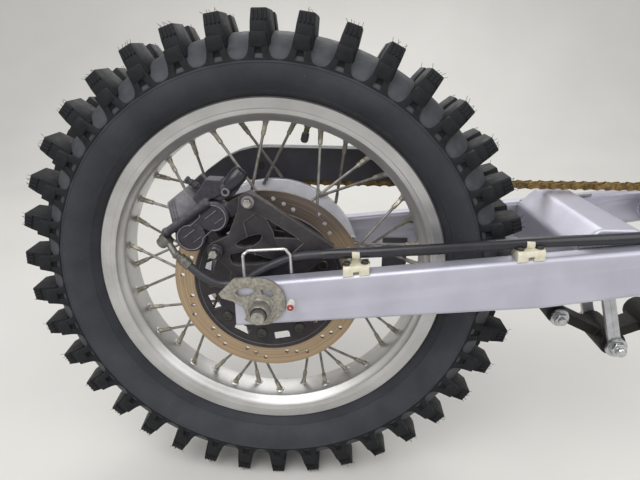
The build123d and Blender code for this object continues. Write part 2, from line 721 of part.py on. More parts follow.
def chain_lie():
    """Angle of the line between the sprockets, and the lean of the runs from it."""
    dx = FRONT_SPROCKET_X - AXLE_X
    dz = FRONT_SPROCKET_Z - AXLE_Z
    lie = math.degrees(math.atan2(dz, dx))
    lean = math.degrees(math.acos((REAR_PITCH_R - FRONT_PITCH_R) / math.hypot(dx, dz)))
    return lie, lean


def chain_line(grow):
    """The chain's closed line round both sprockets, moved outwards by grow, from the pivot."""
    lie, lean = chain_lie()
    points = []
    for step in range(REAR_WRAP_FACETS + 1):
        angle = lie + lean + step * (360.0 - 2 * lean) / REAR_WRAP_FACETS
        x, _, z = polar(REAR_PITCH_R + grow, angle)
        points.append((AXLE_X + x, AXLE_Z + z))
    for step in range(FRONT_WRAP_FACETS + 1):
        angle = lie - lean + step * 2 * lean / FRONT_WRAP_FACETS
        x, _, z = polar(FRONT_PITCH_R + grow, angle)
        points.append((FRONT_SPROCKET_X + x, FRONT_SPROCKET_Z + z))
    return points


def outer_plates():
    """Outline of the outer plates, one over every second link of the loop."""
    loop = Polyline(*chain_line(0.0), close=True)
    count = 2 * round(loop.length / CHAIN_PITCH / 2)
    pins = [loop @ (number / count) for number in range(count)]
    plates = []
    for first, second in zip(pins[0::2], pins[1::2]):
        lean = math.degrees(math.atan2(second.Y - first.Y, second.X - first.X))
        plates.append(Pos((first + second) / 2) * Rot(0, 0, lean) * Rectangle(PLATE_LENGTH, PLATE_HEIGHT))
    return Sketch() + plates


def chain():
    """The chain as one loop, slotted for the teeth where it wraps the rear sprocket."""
    half = CHAIN_HEIGHT / 2
    face = make_face(Polyline(*chain_line(half), close=True))
    face -= make_face(Polyline(*chain_line(-half), close=True))
    band = CHAIN_BAND_WIDTH / 2
    loop = along_y(face, CHAIN_Y - band, CHAIN_Y + band)
    slot = CHAIN_INNER_WIDTH / 2
    loop -= round_y(REAR_PITCH_R + half + SLOT_CLEAR, CHAIN_Y - slot, CHAIN_Y + slot, AXLE_X, AXLE_Z)
    plates = outer_plates()
    loop += along_y(plates, CHAIN_Y - CHAIN_WIDTH / 2, CHAIN_Y - band + PLATE_SINK)
    return loop + along_y(plates, CHAIN_Y + band - PLATE_SINK, CHAIN_Y + CHAIN_WIDTH / 2)


def lower_run_z(x):
    """Height of the chain's lower run at x, from the pivot."""
    lie, lean = chain_lie()
    rear = polar(REAR_PITCH_R, lie - lean)
    slope = math.tan(math.radians(lie + 90.0 - lean))
    return AXLE_Z + rear[2] + slope * (x - AXLE_X - rear[0])


def chain_guard():
    """Cover over the chain: a side plate, a lip over the chain and two stays to the left arm."""
    low = [(x, z - GUARD_LIP) for x, z in reversed(GUARD_TOP)]
    lip = slab(GUARD_TOP + low, GUARD_PLATE_Y, GUARD_OUTER_Y)
    back = GUARD_TOP[0]
    front = GUARD_TOP[-1]
    tail = [(back[0] + GUARD_TAIL, GUARD_LOW_Z), (back[0], back[1] - GUARD_LIP)]
    side = GUARD_TOP + [(front[0], GUARD_LOW_Z)] + tail
    guard = lip + slab(side, GUARD_PLATE_Y, GUARD_PLATE_Y + GUARD_PLATE_THICK)
    seat_y = ARM_INNER_Y - SEAT_GAP
    for x in GUARD_STAYS_X:
        top_z = GUARD_TOP[-2][1] - GUARD_STAY_DROP
        low_x, high_x = x - GUARD_STAY_WIDTH / 2, x + GUARD_STAY_WIDTH / 2
        low_z = arm_top(AXLE_X + x) - AXLE_Z - GUARD_STAY_WIDTH
        reach = slab([(low_x, top_z - GUARD_LIP), (high_x, top_z - GUARD_LIP),
                      (high_x, top_z - 2 * GUARD_LIP), (low_x, top_z - 2 * GUARD_LIP)],
                     GUARD_PLATE_Y + GUARD_PLATE_THICK, seat_y)
        leg = slab([(low_x, top_z - GUARD_LIP), (high_x, top_z - GUARD_LIP), (high_x, low_z), (low_x, low_z)],
                   seat_y - GUARD_LIP, seat_y)
        post = slab([(low_x, top_z), (high_x, top_z),
                     (high_x, top_z - 2 * GUARD_LIP), (low_x, top_z - 2 * GUARD_LIP)],
                    GUARD_OUTER_Y - GUARD_LIP, GUARD_OUTER_Y)
        guard += reach + leg + post
    return guard


def along_run(length, high, low):
    """Outline of a piece along the lower run at the guide, between two heights from the chain's middle."""
    middle = AXLE_X + GUIDE_X
    back, front = middle - length / 2, middle + length / 2
    return [(back, lower_run_z(back) + high), (front, lower_run_z(front) + high),
            (front, lower_run_z(front) + low), (back, lower_run_z(back) + low)]


def chain_guide():
    """Trough under the lower run, on a plate that comes down from the left arm."""
    half = CHAIN_WIDTH / 2 + CHAIN_GAP
    floor_high = -CHAIN_HEIGHT / 2 - CHAIN_GAP
    floor_low = floor_high - GUIDE_FLOOR
    seat_y = ARM_INNER_Y - SEAT_GAP
    floor = along_run(GUIDE_LENGTH, floor_high, floor_low)
    wall = along_run(GUIDE_LENGTH, CHAIN_HEIGHT / 2, floor_low)
    guide = slab(floor, CHAIN_Y - half - GUIDE_SIDE, CHAIN_Y + half + GUIDE_SIDE)
    guide += slab(wall, CHAIN_Y - half - GUIDE_SIDE, CHAIN_Y - half)
    guide += slab(wall, CHAIN_Y + half, CHAIN_Y + half + GUIDE_SIDE)
    foot = along_run(GUIDE_PLATE_WIDTH, floor_high, floor_low)
    guide += slab(foot, CHAIN_Y + half, seat_y)
    back, front = foot[0][0], foot[1][0]
    top_z = arm_bottom(AXLE_X + GUIDE_X) + GUIDE_PLATE_LAP
    return guide + slab([(back, top_z), (front, top_z), foot[2], foot[3]], seat_y - GUIDE_PLATE, seat_y)


def chain_slider():
    """Rubber strip over the pivot tube, under the upper run."""
    face = Circle(SLIDER_R) - Circle(PIVOT_TUBE_R + SEAT_GAP)
    face -= Pos(0, -SLIDER_R) * Rectangle(4 * SLIDER_R, 2 * SLIDER_R)
    return along_y(face, CHAIN_Y - SLIDER_WIDTH / 2, CHAIN_Y + SLIDER_WIDTH / 2)


def in_caliper(sketch):
    """Place a sketch drawn in the caliper's t and r axes about the wheel's centre."""
    return Pos(CALIPER_X, CALIPER_Z) * Rot(0, 0, CALIPER_TILT) * sketch


def patch(t_low, t_high, r_low, r_high):
    """A rectangle in the caliper's axes."""
    return Pos((t_low + t_high) / 2, (r_low + r_high) / 2) * Rectangle(t_high - t_low, r_high - r_low)


def cal_point(t, r, y):
    """A point in the caliper's axes, about the wheel's centre."""
    a = math.radians(CALIPER_TILT)
    return (CALIPER_X + t * math.cos(a) - r * math.sin(a), y, CALIPER_Z + t * math.sin(a) + r * math.cos(a))


def caliper_arm(end, width):
    """An arm with a round end, from the middle of the caliper to a point."""
    dx, dz = end[0] - CALIPER_X, end[1] - CALIPER_Z
    length = math.hypot(dx, dz)
    angle = math.degrees(math.atan2(dz, dx))
    beam = Pos(CALIPER_X, CALIPER_Z) * Rot(0, 0, angle) * Pos(length / 2, 0) * Rectangle(length, width)
    return beam + Pos(*end) * Circle(width / 2)


def caliper_body():
    """Twin-piston sliding caliper: outer half, bridge over the disc's edge, inner half."""
    outer_high = DISC_RIGHT_Y - DISC_SIDE_GAP
    outer_low = outer_high - CALIPER_OUTER_THICK
    inner_low = DISC_LEFT_Y + DISC_SIDE_GAP
    inner_high = inner_low + CALIPER_INNER_THICK
    places = [Pos(side * PISTON_SPACING / 2, 0) for side in (-1, 1)]
    block = in_caliper(patch(*CALIPER_BLOCK) + [place * Circle(PISTON_WALL_R) for place in places])
    block += in_caliper(patch(*PLUG_BLOCK))
    block -= Pos(*UPPER_PIN) * Circle(2 * PIN_BOSS_R)
    body = along_y(block, outer_low, outer_high)
    ears = caliper_arm(LOWER_PIN, 2 * PIN_BOSS_R) + caliper_arm(UPPER_PIN, 2 * PIN_BOSS_R)
    ears -= [Pos(*pin) * Circle(PIN_R + FIT) for pin in (LOWER_PIN, UPPER_PIN)]
    body += along_y(ears, BRACKET_INNER_Y + SEAT_GAP, outer_high)
    boss = Pos(*EAR_BOSS) * Circle(EAR_BOSS_R)
    body += along_y(boss + in_caliper(patch(*EAR_NECK)), outer_low - EAR_BOSS_PROUD, outer_high)
    inner = in_caliper(patch(-CALIPER_HALF_LENGTH, CALIPER_HALF_LENGTH, CALIPER_INNER_LOW, BRIDGE[3]))
    body += along_y(inner, inner_low, inner_high)
    body += along_y(in_caliper(patch(*BRIDGE)), outer_low + BRIDGE_SET_BACK, inner_high)
    caps = Sketch() + [place * Circle(PISTON_CAP_R) for place in places]
    body += along_y(in_caliper(caps), outer_low - PISTON_CAP_HEIGHT, outer_low)
    ridge = Pos(*RIDGE_MIDDLE) * Rot(0, 0, RIDGE_TILT) * Rectangle(RIDGE_LENGTH, 2 * RIDGE_R)
    body += along_y(in_caliper(ridge), outer_low - RIDGE_R, outer_low + RIDGE_R)
    return body - round_y(DISC_R + DISC_EDGE_GAP, outer_high, inner_low)


def bleed_nipple():
    foot = cal_point(*NIPPLE_FOOT, NIPPLE_Y)
    tip = cal_point(*NIPPLE_TIP, NIPPLE_Y)
    return bar(foot, tip, RegularPolygon(BLEED_R, 8))


def brake_pads():
    """A pad on each side of the disc, seated in the caliper's halves."""
    pad = in_caliper(patch(-PAD_LENGTH / 2, PAD_LENGTH / 2, -PAD_WIDTH / 2, PAD_WIDTH / 2 - PAD_TOP_DROP))
    outer = along_y(pad, DISC_RIGHT_Y - DISC_SIDE_GAP + SEAT_GAP, DISC_RIGHT_Y - PAD_GAP)
    inner = along_y(pad, DISC_LEFT_Y + PAD_GAP, DISC_LEFT_Y + DISC_SIDE_GAP - SEAT_GAP)
    return Compound([outer, inner])


def slide_pins():
    """Pins that hold the caliper on its bracket, with their heads to the right."""
    pins = []
    for x, z in (UPPER_PIN, LOWER_PIN):
        pin = round_y(PIN_R, BRACKET_OUTER_Y, DISC_RIGHT_Y - DISC_SIDE_GAP, x, z)
        pins.append(pin + hexagon_y(PIN_HEAD_FLATS, BRACKET_OUTER_Y - PIN_HEAD_THICK, BRACKET_OUTER_Y, x, z))
    return Compound(pins)


def caliper_bracket():
    """Black plate on the axle, inside the right arm, with an eye for each slide pin."""
    face = make_face(Polyline(*BRACKET_OUTLINE, close=True)) + Circle(BRACKET_BOSS_R)
    for pin in (UPPER_PIN, LOWER_PIN):
        face += Pos(*pin) * Circle(BRACKET_EYE_R)
        face -= Pos(*pin) * Circle(PIN_R + FIT)
    face -= make_face(Polyline(*BRACKET_OPENING, close=True))
    face -= Circle(AXLE_R + FIT)
    plate = along_y(face, BRACKET_OUTER_Y, BRACKET_INNER_Y)
    return plate + ring_y(BRACKET_COLLAR_R, AXLE_R + FIT, -ARM_INNER_Y + SEAT_GAP, BRACKET_OUTER_Y)


def bend_radii(points):
    """Arc radius at each inner point: a share of the shorter run over the tangent of half the turn."""
    radii = []
    for before, here, after in zip(points, points[1:], points[2:]):
        run_in = Vector(*here) - Vector(*before)
        run_out = Vector(*after) - Vector(*here)
        half_turn = math.radians(run_in.get_angle(run_out) / 2)
        radii.append(BEND_SHARE * min(run_in.length, run_out.length) / math.tan(half_turn))
    return radii


def between(first, second, share=0.5):
    return tuple(a + share * (b - a) for a, b in zip(first, second))


def swept(points, radii, section):
    """Sweep a section along straight runs joined by tangent arcs; gives the solid and its path's length."""
    path = FilletPolyline(*points, radius=radii)
    return sweep(Plane(origin=path @ 0, z_dir=path % 0) * section, path=path), path.length


def brake_hose():
    """Hose from the caliper's fitting, inside the arm's end and forward along its top."""
    radii = bend_radii(HOSE_POINTS)
    tube, length = swept(HOSE_POINTS, radii, Circle(HOSE_R))
    print("hose radii", [round(r) for r in radii], "length", round(length, 1))
    print("hose volume over section times length", round(tube.volume / (math.pi * HOSE_R ** 2 * length), 4))
    return tube


def hose_sleeve():
    """Thicker sleeve over the hose where it lies in the clamps."""
    radii = bend_radii(HOSE_POINTS)
    first = between(HOSE_POINTS[SLEEVE_FIRST - 1], HOSE_POINTS[SLEEVE_FIRST], SLEEVE_START_SHARE)
    last = between(HOSE_POINTS[SLEEVE_LAST], HOSE_POINTS[SLEEVE_LAST + 1], SLEEVE_END_SHARE)
    points = [first] + HOSE_POINTS[SLEEVE_FIRST:SLEEVE_LAST + 1] + [last]
    wall = Circle(SLEEVE_R) - Circle(HOSE_R + FIT)
    return swept(points, radii[SLEEVE_FIRST - 1:SLEEVE_LAST], wall)[0]


def ferrule(first, second):
    """Crimped ferrule at the hose's end, and where it starts; first is the hose's end point."""
    out = (Vector(*first) - Vector(*second)).normalized()
    start = Vector(*first) + out * SEAT_GAP
    end = start + out * FERRULE_LENGTH
    return bar(start, end, RegularPolygon(FERRULE_R, 12)), end


def neck(ferrule_end, eye_middle):
    """The pipe from a ferrule into a banjo eye."""
    toward = (eye_middle - ferrule_end).normalized()
    start = ferrule_end - toward * NECK_INTO_FERRULE
    end = eye_middle - toward * (BANJO_R - NECK_INTO_EYE)
    return bar(start, end, RegularPolygon(BANJO_NECK_R, 12))


def hose_fittings():
    """The fitting at each end of the hose: a ferrule, a neck and a banjo eye."""
    rear, rear_end = ferrule(HOSE_POINTS[0], HOSE_POINTS[1])
    bore_wall = Circle(BANJO_R) - Circle(BANJO_BOLT_R + FIT)
    eye_low = cal_point(RIDGE_END_T - REAR_BANJO_STAND - BANJO_THICK, REAR_BANJO_R_PLACE, REAR_BANJO_Y)
    eye_high = cal_point(RIDGE_END_T - REAR_BANJO_STAND, REAR_BANJO_R_PLACE, REAR_BANJO_Y)
    rear += neck(rear_end, Vector(*between(eye_low, eye_high)))
    rear += bar(eye_low, eye_high, bore_wall)
    front, front_end = ferrule(HOSE_POINTS[-1], HOSE_POINTS[-2])
    front += neck(front_end, Vector(*FRONT_BANJO))
    x, y, z = FRONT_BANJO
    front += ring_y(BANJO_R, BANJO_BOLT_R + FIT, y - BANJO_THICK / 2, y + BANJO_THICK / 2, x, z)
    return Compound([rear, front])


def banjo_bolt():
    """Bolt that holds the rear eye against the caliper."""
    front_t = RIDGE_END_T - REAR_BANJO_STAND
    seat_t = front_t - BANJO_THICK - SEAT_GAP
    back_t = seat_t - BANJO_BOLT_HEAD
    back, seat, front = [cal_point(t, REAR_BANJO_R_PLACE, REAR_BANJO_Y) for t in (back_t, seat_t, front_t)]
    shank = bar(seat, front, RegularPolygon(BANJO_BOLT_R, 12))
    return shank + bar(back, seat, RegularPolygon(BANJO_BOLT_FLATS / math.sqrt(3), 6))


def sleeve_place(x):
    """Centre of the hose at x, and its direction, on the straight run that crosses it."""
    for first, second in zip(HOSE_POINTS, HOSE_POINTS[1:]):
        if first[0] <= x <= second[0]:
            share = (x - first[0]) / (second[0] - first[0])
            return between(first, second, share), Vector(*second) - Vector(*first)


def hose_clamps():
    """Plated clamps: a bolted base on the arm's top, a post and a band round the sleeve."""
    clamps = []
    for x in CLAMP_X:
        (_, y, z), run = sleeve_place(x)
        base_z = arm_top(AXLE_X + x) - AXLE_Z + SEAT_GAP + CLAMP_BASE_LENGTH / 2 * ARM_SLOPE_TOP
        base_y = -ARM_OUTER_Y + ARM_EDGE_R + CLAMP_BASE_WIDTH / 2
        clamp = Pos(x, base_y, base_z + CLAMP_BASE_HEIGHT / 2) * Box(
            CLAMP_BASE_LENGTH, CLAMP_BASE_WIDTH, CLAMP_BASE_HEIGHT)
        for side in (-1, 1):
            at = x + side * (CLAMP_BASE_LENGTH / 2 - CLAMP_BOLT_INSET)
            bolt = Plane(origin=(at, base_y, base_z + CLAMP_BASE_HEIGHT)) * RegularPolygon(CLAMP_BOLT_R, 6)
            clamp += extrude(bolt, amount=CLAMP_BOLT_HEIGHT)
        band = Circle(SLEEVE_R + FIT + CLAMP_BAND) - Circle(SLEEVE_R + CLAMP_BAND_PLAY)
        clamp += extrude(Plane(origin=(x, y, z), z_dir=run) * band, amount=CLAMP_BAND_WIDTH / 2, both=True)
        post_high = z - SLEEVE_R - CLAMP_BAND_PLAY - CLAMP_BAND / 2
        post = Box(CLAMP_BAND_WIDTH, 2 * CLAMP_BAND, post_high - base_z)
        clamp += Pos(x, y, (post_high + base_z) / 2) * post
        clamps.append(clamp)
    return Compound(clamps)


def wire_guard():
    """Bent wire that stands on the arm above the axle."""
    points = [(x, WIRE_Y, z) for x, z in WIRE_POINTS]
    for end in (0, -1):
        x, y, _ = points[end]
        points[end] = (x, y, arm_top(AXLE_X + x) - AXLE_Z + SEAT_GAP)
    return swept(points, [WIRE_BEND_R] * (len(points) - 2), RegularPolygon(WIRE_R, 8))[0]


def relay_arm():
    """Black linkage arm with three eyes: shock, rods and frame."""
    outline = [RELAY_SHOCK, RELAY_ROD, RELAY_FRAME]
    low = [(x, z - RELAY_WEB_HALF / 2) for x, z in outline]
    high = [(x, z + RELAY_WEB_HALF / 2) for x, z in reversed(outline)]
    holes = [Pos(*RELAY_SHOCK) * Circle(LINK_BOLT_R + FIT), Pos(*RELAY_ROD) * Circle(LINK_BOLT_R + FIT),
             Pos(*RELAY_FRAME) * Circle(RELAY_FRAME_BORE_R)]
    web = make_face(Polyline(*(low + high), close=True))
    arm_body = along_y(web - holes, -RELAY_WEB_HALF, RELAY_WEB_HALF)
    eyes = [(RELAY_SHOCK, RELAY_SHOCK_R, RELAY_SHOCK_HALF, LINK_BOLT_R + FIT),
            (RELAY_ROD, RELAY_ROD_R, RELAY_ROD_HALF, LINK_BOLT_R + FIT),
            (RELAY_FRAME, RELAY_FRAME_R, RELAY_FRAME_HALF, RELAY_FRAME_BORE_R)]
    for (x, z), radius, half, bore in eyes:
        arm_body -= round_y(bore + FIT, -half, half, x, z)
        arm_body += ring_y(radius, bore, -half, half, x, z)
    return arm_body


def link_rods():
    """Flat rods from the lug under the cross member down to the relay arm, one on each side."""
    (x0, z0), (x1, z1) = ROD_TOP, RELAY_ROD
    length = math.hypot(x1 - x0, z1 - z0)
    angle = math.degrees(math.atan2(z1 - z0, x1 - x0))
    face = Pos((x0 + x1) / 2, (z0 + z1) / 2) * Rot(0, 0, angle) * SlotOverall(length + ROD_WIDTH, ROD_WIDTH)
    face -= [Pos(*end) * Circle(LINK_BOLT_R + FIT) for end in (ROD_TOP, RELAY_ROD)]
    low = RELAY_ROD_HALF + SEAT_GAP
    rod = along_y(face, low, low + ROD_THICK)
    return Compound([rod, mirrored(rod)])


def link_bolts():
    """Through bolts of the linkage, each with a hexagon head on the left and a nut on the right."""
    rod_seat = RELAY_ROD_HALF + SEAT_GAP + ROD_THICK + SEAT_GAP
    shock_seat = RELAY_SHOCK_HALF + SHOCK_FORK_ROOM
    bolts = []
    for (x, z), seat in ((ROD_TOP, rod_seat), (RELAY_ROD, rod_seat), (RELAY_SHOCK, shock_seat)):
        bolt = round_y(LINK_BOLT_R, -seat - LINK_BOLT_HEAD - LINK_BOLT_TAIL, seat, x, z)
        for low in (-seat - LINK_BOLT_HEAD, seat):
            bolt += hexagon_y(LINK_BOLT_FLATS, low, low + LINK_BOLT_HEAD, x, z)
        bolts.append(bolt)
    return Compound(bolts)


def save(shape, name):
    export_step(shape, "parts/" + name + ".step")


def main():
    os.makedirs("parts", exist_ok=True)
    right_arm = arm()
    save(right_arm, "right_arm")
    save(mirrored(right_arm), "left_arm")
    save(cross_member(), "cross_member")
    save(pivot_tube(), "pivot_tube")
    save(pivot_sleeve(), "pivot_sleeve")
    save(pivot_bushes(), "pivot_bushes")
    save(relay_arm(), "relay_arm")
    save(link_rods(), "link_rods")
    save(link_bolts(), "link_bolts")
    cam = on_axle(snail_cam())
    save(cam, "adjuster_cam_right")
    save(mirrored(cam), "adjuster_cam_left")
    pin = on_axle(stopper_pin())
    save(Compound([pin, mirrored(pin)]), "stopper_pins")
    save(on_axle(axle()), "axle")
    save(on_axle(washers()), "axle_washers")
    save(on_axle(axle_nut()), "axle_nut")
    save(on_axle(spacers()), "axle_spacers")
    save(on_axle(tyre()), "tyre")
    save(on_axle(rim()), "rim")
    wires, nipples = spokes_and_nipples()
    save(wires, "spokes")
    save(nipples, "nipples")
    save(on_axle(valve()), "valve")
    save(on_axle(hub()), "hub")
    save(on_axle(wheel_bearings()), "wheel_bearings")
    save(on_axle(disc()), "disc")
    save(on_axle(disc_carrier()), "disc_carrier")
    save(carrier_bolts(), "disc_bolts")
    save(on_axle(sprocket()), "sprocket")
    save(sprocket_bolts(), "sprocket_bolts")
    save(chain(), "chain")
    save(on_axle(chain_guard()), "chain_guard")
    save(chain_guide(), "chain_guide")
    save(chain_slider(), "chain_slider")
    save(on_axle(caliper_bracket()), "caliper_bracket")
    save(on_axle(caliper_body()), "caliper_body")
    save(on_axle(brake_pads()), "brake_pads")
    save(on_axle(slide_pins()), "slide_pins")
    save(on_axle(bleed_nipple()), "bleed_nipple")
    save(on_axle(banjo_bolt()), "banjo_bolt")
    save(on_axle(hose_fittings()), "hose_fittings")
    save(on_axle(brake_hose()), "brake_hose")
    save(on_axle(hose_sleeve()), "hose_sleeve")
    save(on_axle(hose_clamps()), "hose_clamps")
    save(on_axle(wire_guard()), "wire_guard")


if __name__ == "__main__":
    main()
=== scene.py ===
import bpy
import json
import math
import random
from mathutils import Matrix, Vector


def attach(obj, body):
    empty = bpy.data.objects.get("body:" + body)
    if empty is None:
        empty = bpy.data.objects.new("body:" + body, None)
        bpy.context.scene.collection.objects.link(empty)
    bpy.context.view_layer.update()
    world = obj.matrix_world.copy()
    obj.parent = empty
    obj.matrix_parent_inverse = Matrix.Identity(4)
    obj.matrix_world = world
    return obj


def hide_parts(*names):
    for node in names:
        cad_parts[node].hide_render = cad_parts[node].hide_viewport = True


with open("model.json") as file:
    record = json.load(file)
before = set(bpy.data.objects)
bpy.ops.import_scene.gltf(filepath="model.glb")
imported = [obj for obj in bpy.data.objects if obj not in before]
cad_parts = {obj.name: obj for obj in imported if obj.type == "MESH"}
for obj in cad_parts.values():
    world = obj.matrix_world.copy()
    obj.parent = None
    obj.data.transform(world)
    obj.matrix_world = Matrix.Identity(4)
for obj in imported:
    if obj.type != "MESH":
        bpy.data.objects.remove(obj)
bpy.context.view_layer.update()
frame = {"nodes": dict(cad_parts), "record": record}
NODES = frame["nodes"]

MM = 0.001
AXLE = Vector((-585, 0, -68)) * MM
ON_AXLE = Matrix.Translation(AXLE)
# the caliper's own axes: x along its two pistons, z outwards from the axle
CALIPER_MIDDLE = Vector((-76.7, 0, 88.1))
CALIPER_LEAN = math.radians(41)
CALIPER = ON_AXLE @ Matrix.Translation(CALIPER_MIDDLE * MM) @ Matrix.Rotation(-CALIPER_LEAN, 4, "Y")
ROWS = 38  # rows of knobs round the tyre
ROW_ANGLE = -89.6  # a row's angle about the axle, in degrees, 0 forward
TEETH = 44  # of the rear sprocket
ARM_SLOPE = 0.1105  # the arms climb towards the pivot
DRAWN = Matrix.Identity(4)  # for what is drawn at the origin and placed later


# Materials: sizes of patterns are in mm, colours in sRGB

def linear(hex_colour):
    """An sRGB hex colour as the linear colour that Blender works in."""
    parts = [int(hex_colour[i:i + 2], 16) / 255 for i in (1, 3, 5)]
    return tuple(c / 12.92 if c <= 0.04045 else ((c + 0.055) / 1.055) ** 2.4 for c in parts) + (1,)


def add(tree, kind, inputs=(), **settings):
    """Add a node with its settings; an input that is a socket is linked, any other value is set."""
    made = tree.nodes.new(kind)
    for name, value in settings.items():
        setattr(made, name, value)
    for name, value in dict(inputs).items():
        if isinstance(value, bpy.types.NodeSocket):
            tree.links.new(value, made.inputs[name])
        else:
            made.inputs[name].default_value = value
    return made


def new_material(name):
    """A material, its tree, its shader and the place on the object that its patterns read."""
    made = bpy.data.materials.new(name)
    made.use_nodes = True
    tree = made.node_tree
    return made, tree, tree.nodes["Principled BSDF"], add(tree, "ShaderNodeTexCoord").outputs["Object"]


def two_tone(tree, pattern, first, second, low=0.35, high=0.65):
    """Two colours that follow a pattern."""
    share = add(tree, "ShaderNodeMapRange", {"Value": pattern, "From Min": low, "From Max": high})
    return add(tree, "ShaderNodeMix", {
        "Factor": share.outputs["Result"], 6: linear(first), 7: linear(second)}, data_type="RGBA").outputs[2]


def laid_over(tree, colour, pattern, low, high, most, over):
    """A second colour on top, as much of it as the pattern says."""
    cover = add(tree, "ShaderNodeMapRange", {"Value": pattern, "From Min": low, "From Max": high, "To Max": most})
    return add(tree, "ShaderNodeMix", {
        "Factor": cover.outputs["Result"], 6: colour, 7: linear(over)}, data_type="RGBA").outputs[2]


def grained(tree, place, size, depth, detail=3, under=None):
    """A raised grain, over another one where given."""
    grain = add(tree, "ShaderNodeTexNoise", {"Vector": place, "Scale": 1 / (size * MM), "Detail": detail})
    bump = add(tree, "ShaderNodeBump", {"Height": grain.outputs["Fac"], "Distance": depth * MM})
    if under:
        tree.links.new(under, bump.inputs["Normal"])
    return bump.outputs["Normal"]


def surface(tree, shader, colour, pattern, low, high, smoothest, roughest, relief, metallic=0, gloss=0.5):
    """Give the shader its colour, a roughness that follows a pattern, its relief and its even values."""
    matt = add(tree, "ShaderNodeMapRange", {
        "Value": pattern, "From Min": low, "From Max": high, "To Min": smoothest, "To Max": roughest})
    tree.links.new(colour, shader.inputs["Base Color"])
    tree.links.new(matt.outputs["Result"], shader.inputs["Roughness"])
    tree.links.new(relief, shader.inputs["Normal"])
    shader.inputs["Metallic"].default_value = metallic
    shader.inputs["Specular IOR Level"].default_value = gloss


def weathered(name, main, second, patch, grain, grain_depth, metallic, roughness, spread,
              dust_and_top_light=None, dust_and_top_light_share=0.5, edge=None, edge_width=1.2, gloss=0.5):
    """A finish with slow patches of a second colour, a fine grain and, where given, a colour on upward faces and
    lighter edges: dust and rubbed wear, with painted top light on the enamelled steel and the hose rubber and a
    painted highlight on the chain's edges.
    """
    made, tree, shader, place = new_material(name)
    patches = add(tree, "ShaderNodeTexNoise", {
        "Vector": place, "Scale": 1 / (patch * MM), "Detail": 4}).outputs["Fac"]
    colour = two_tone(tree, patches, main, second)
    # upward faces take a second colour: dust, and for the enamelled steel and the hose rubber also painted top light
    if dust_and_top_light:
        facing = add(tree, "ShaderNodeSeparateXYZ", {0: add(tree, "ShaderNodeNewGeometry").outputs["Normal"]})
        up = add(tree, "ShaderNodeMapRange", {"Value": facing.outputs["Z"], "From Min": -0.4, "From Max": 1})
        specks = add(tree, "ShaderNodeTexNoise", {
            "Vector": place, "Scale": 2.5 / (patch * MM), "Detail": 4, "Roughness": 0.65}).outputs["Fac"]
        dust_and_top_light_mask = add(tree, "ShaderNodeMath", {0: up.outputs["Result"], 1: specks}, operation="MULTIPLY").outputs[0]
        colour = laid_over(tree, colour, dust_and_top_light_mask, 0.05, 0.6, dust_and_top_light_share, dust_and_top_light)
    # lighter edges: rubbed wear, and on the chain a painted highlight
    if edge:
        flat = add(tree, "ShaderNodeNewGeometry").outputs["Normal"]
        soft = add(tree, "ShaderNodeBevel", {"Radius": edge_width * MM}, samples=6).outputs["Normal"]
        match = add(tree, "ShaderNodeVectorMath", {0: flat, 1: soft}, operation="DOT_PRODUCT").outputs["Value"]
        colour = laid_over(tree, colour, match, 0.99, 0.85, 0.8, edge)
    surface(tree, shader, colour, patches, 0.3, 0.7, roughness - spread, roughness + spread,
            grained(tree, place, grain, grain_depth), metallic, gloss)
    return made


def anodised_extrusion():
    """Anodised aluminium extrusion: even satin silver, with a few dirt specks and hair scratches along it."""
    made, tree, shader, place = new_material("anodised_aluminium")
    slow = add(tree, "ShaderNodeTexNoise", {"Vector": place, "Scale": 1 / (60 * MM), "Detail": 4}).outputs["Fac"]
    tone = two_tone(tree, slow, "#C0BFCC", "#B5B4C1")
    # dirt specks under a millimetre, drawn 1.5 mm wide so that they show
    fine = add(tree, "ShaderNodeTexNoise", {"Vector": place, "Scale": 1 / (3 * MM), "Detail": 2}).outputs["Fac"]
    tone = laid_over(tree, tone, fine, 0.76, 0.78, 1, "#3C3834")
    # hair scratches of a tenth of a millimetre, drawn 2 mm wide and 28 mm long so that they show
    long_way = add(tree, "ShaderNodeMapping", {"Vector": place, "Scale": (4, 60, 60)}).outputs["Vector"]
    hairs = add(tree, "ShaderNodeTexNoise", {"Vector": long_way, "Scale": 9, "Detail": 2}).outputs["Fac"]
    tone = laid_over(tree, tone, hairs, 0.72, 0.76, 0.5, "#D8D7DC")
    surface(tree, shader, tone, slow, 0.3, 0.7, 0.36, 0.46, grained(tree, place, 0.9, 0.02), 0.5)
    return made


def from_axle(tree, place):
    """Distance from the wheel's axis, in metres."""
    centred = add(tree, "ShaderNodeMapping", {"Vector": place, "Location": tuple(-AXLE)}).outputs["Vector"]
    flat = add(tree, "ShaderNodeVectorMath", {0: centred, 1: (1, 0, 1)}, operation="MULTIPLY").outputs["Vector"]
    return add(tree, "ShaderNodeVectorMath", {0: flat}, operation="LENGTH").outputs["Value"]


def polished_rim():
    """Rolled and polished aluminium: bright satin, with fine lines that run round the rim."""
    made, tree, shader, place = new_material("polished_rim_aluminium")
    # polishing lines of a tenth of a millimetre, drawn 2 mm apart so that they show
    lines = add(tree, "ShaderNodeTexNoise", {"W": from_axle(tree, place), "Scale": 1 / (2 * MM), "Detail": 1},
                noise_dimensions="1D").outputs["Fac"]
    slow = add(tree, "ShaderNodeTexNoise", {"Vector": place, "Scale": 1 / (45 * MM), "Detail": 4}).outputs["Fac"]
    tone = two_tone(tree, slow, "#C9C8C7", "#B6B5B3", 0.35, 0.7)
    tone = laid_over(tree, tone, lines, 0.3, 0.8, 0.2, "#A8A7A6")
    relief = add(tree, "ShaderNodeBump", {"Height": lines, "Distance": 0.01 * MM}).outputs["Normal"]
    surface(tree, shader, tone, lines, 0.2, 0.8, 0.3, 0.38, relief, 0.8)
    return made


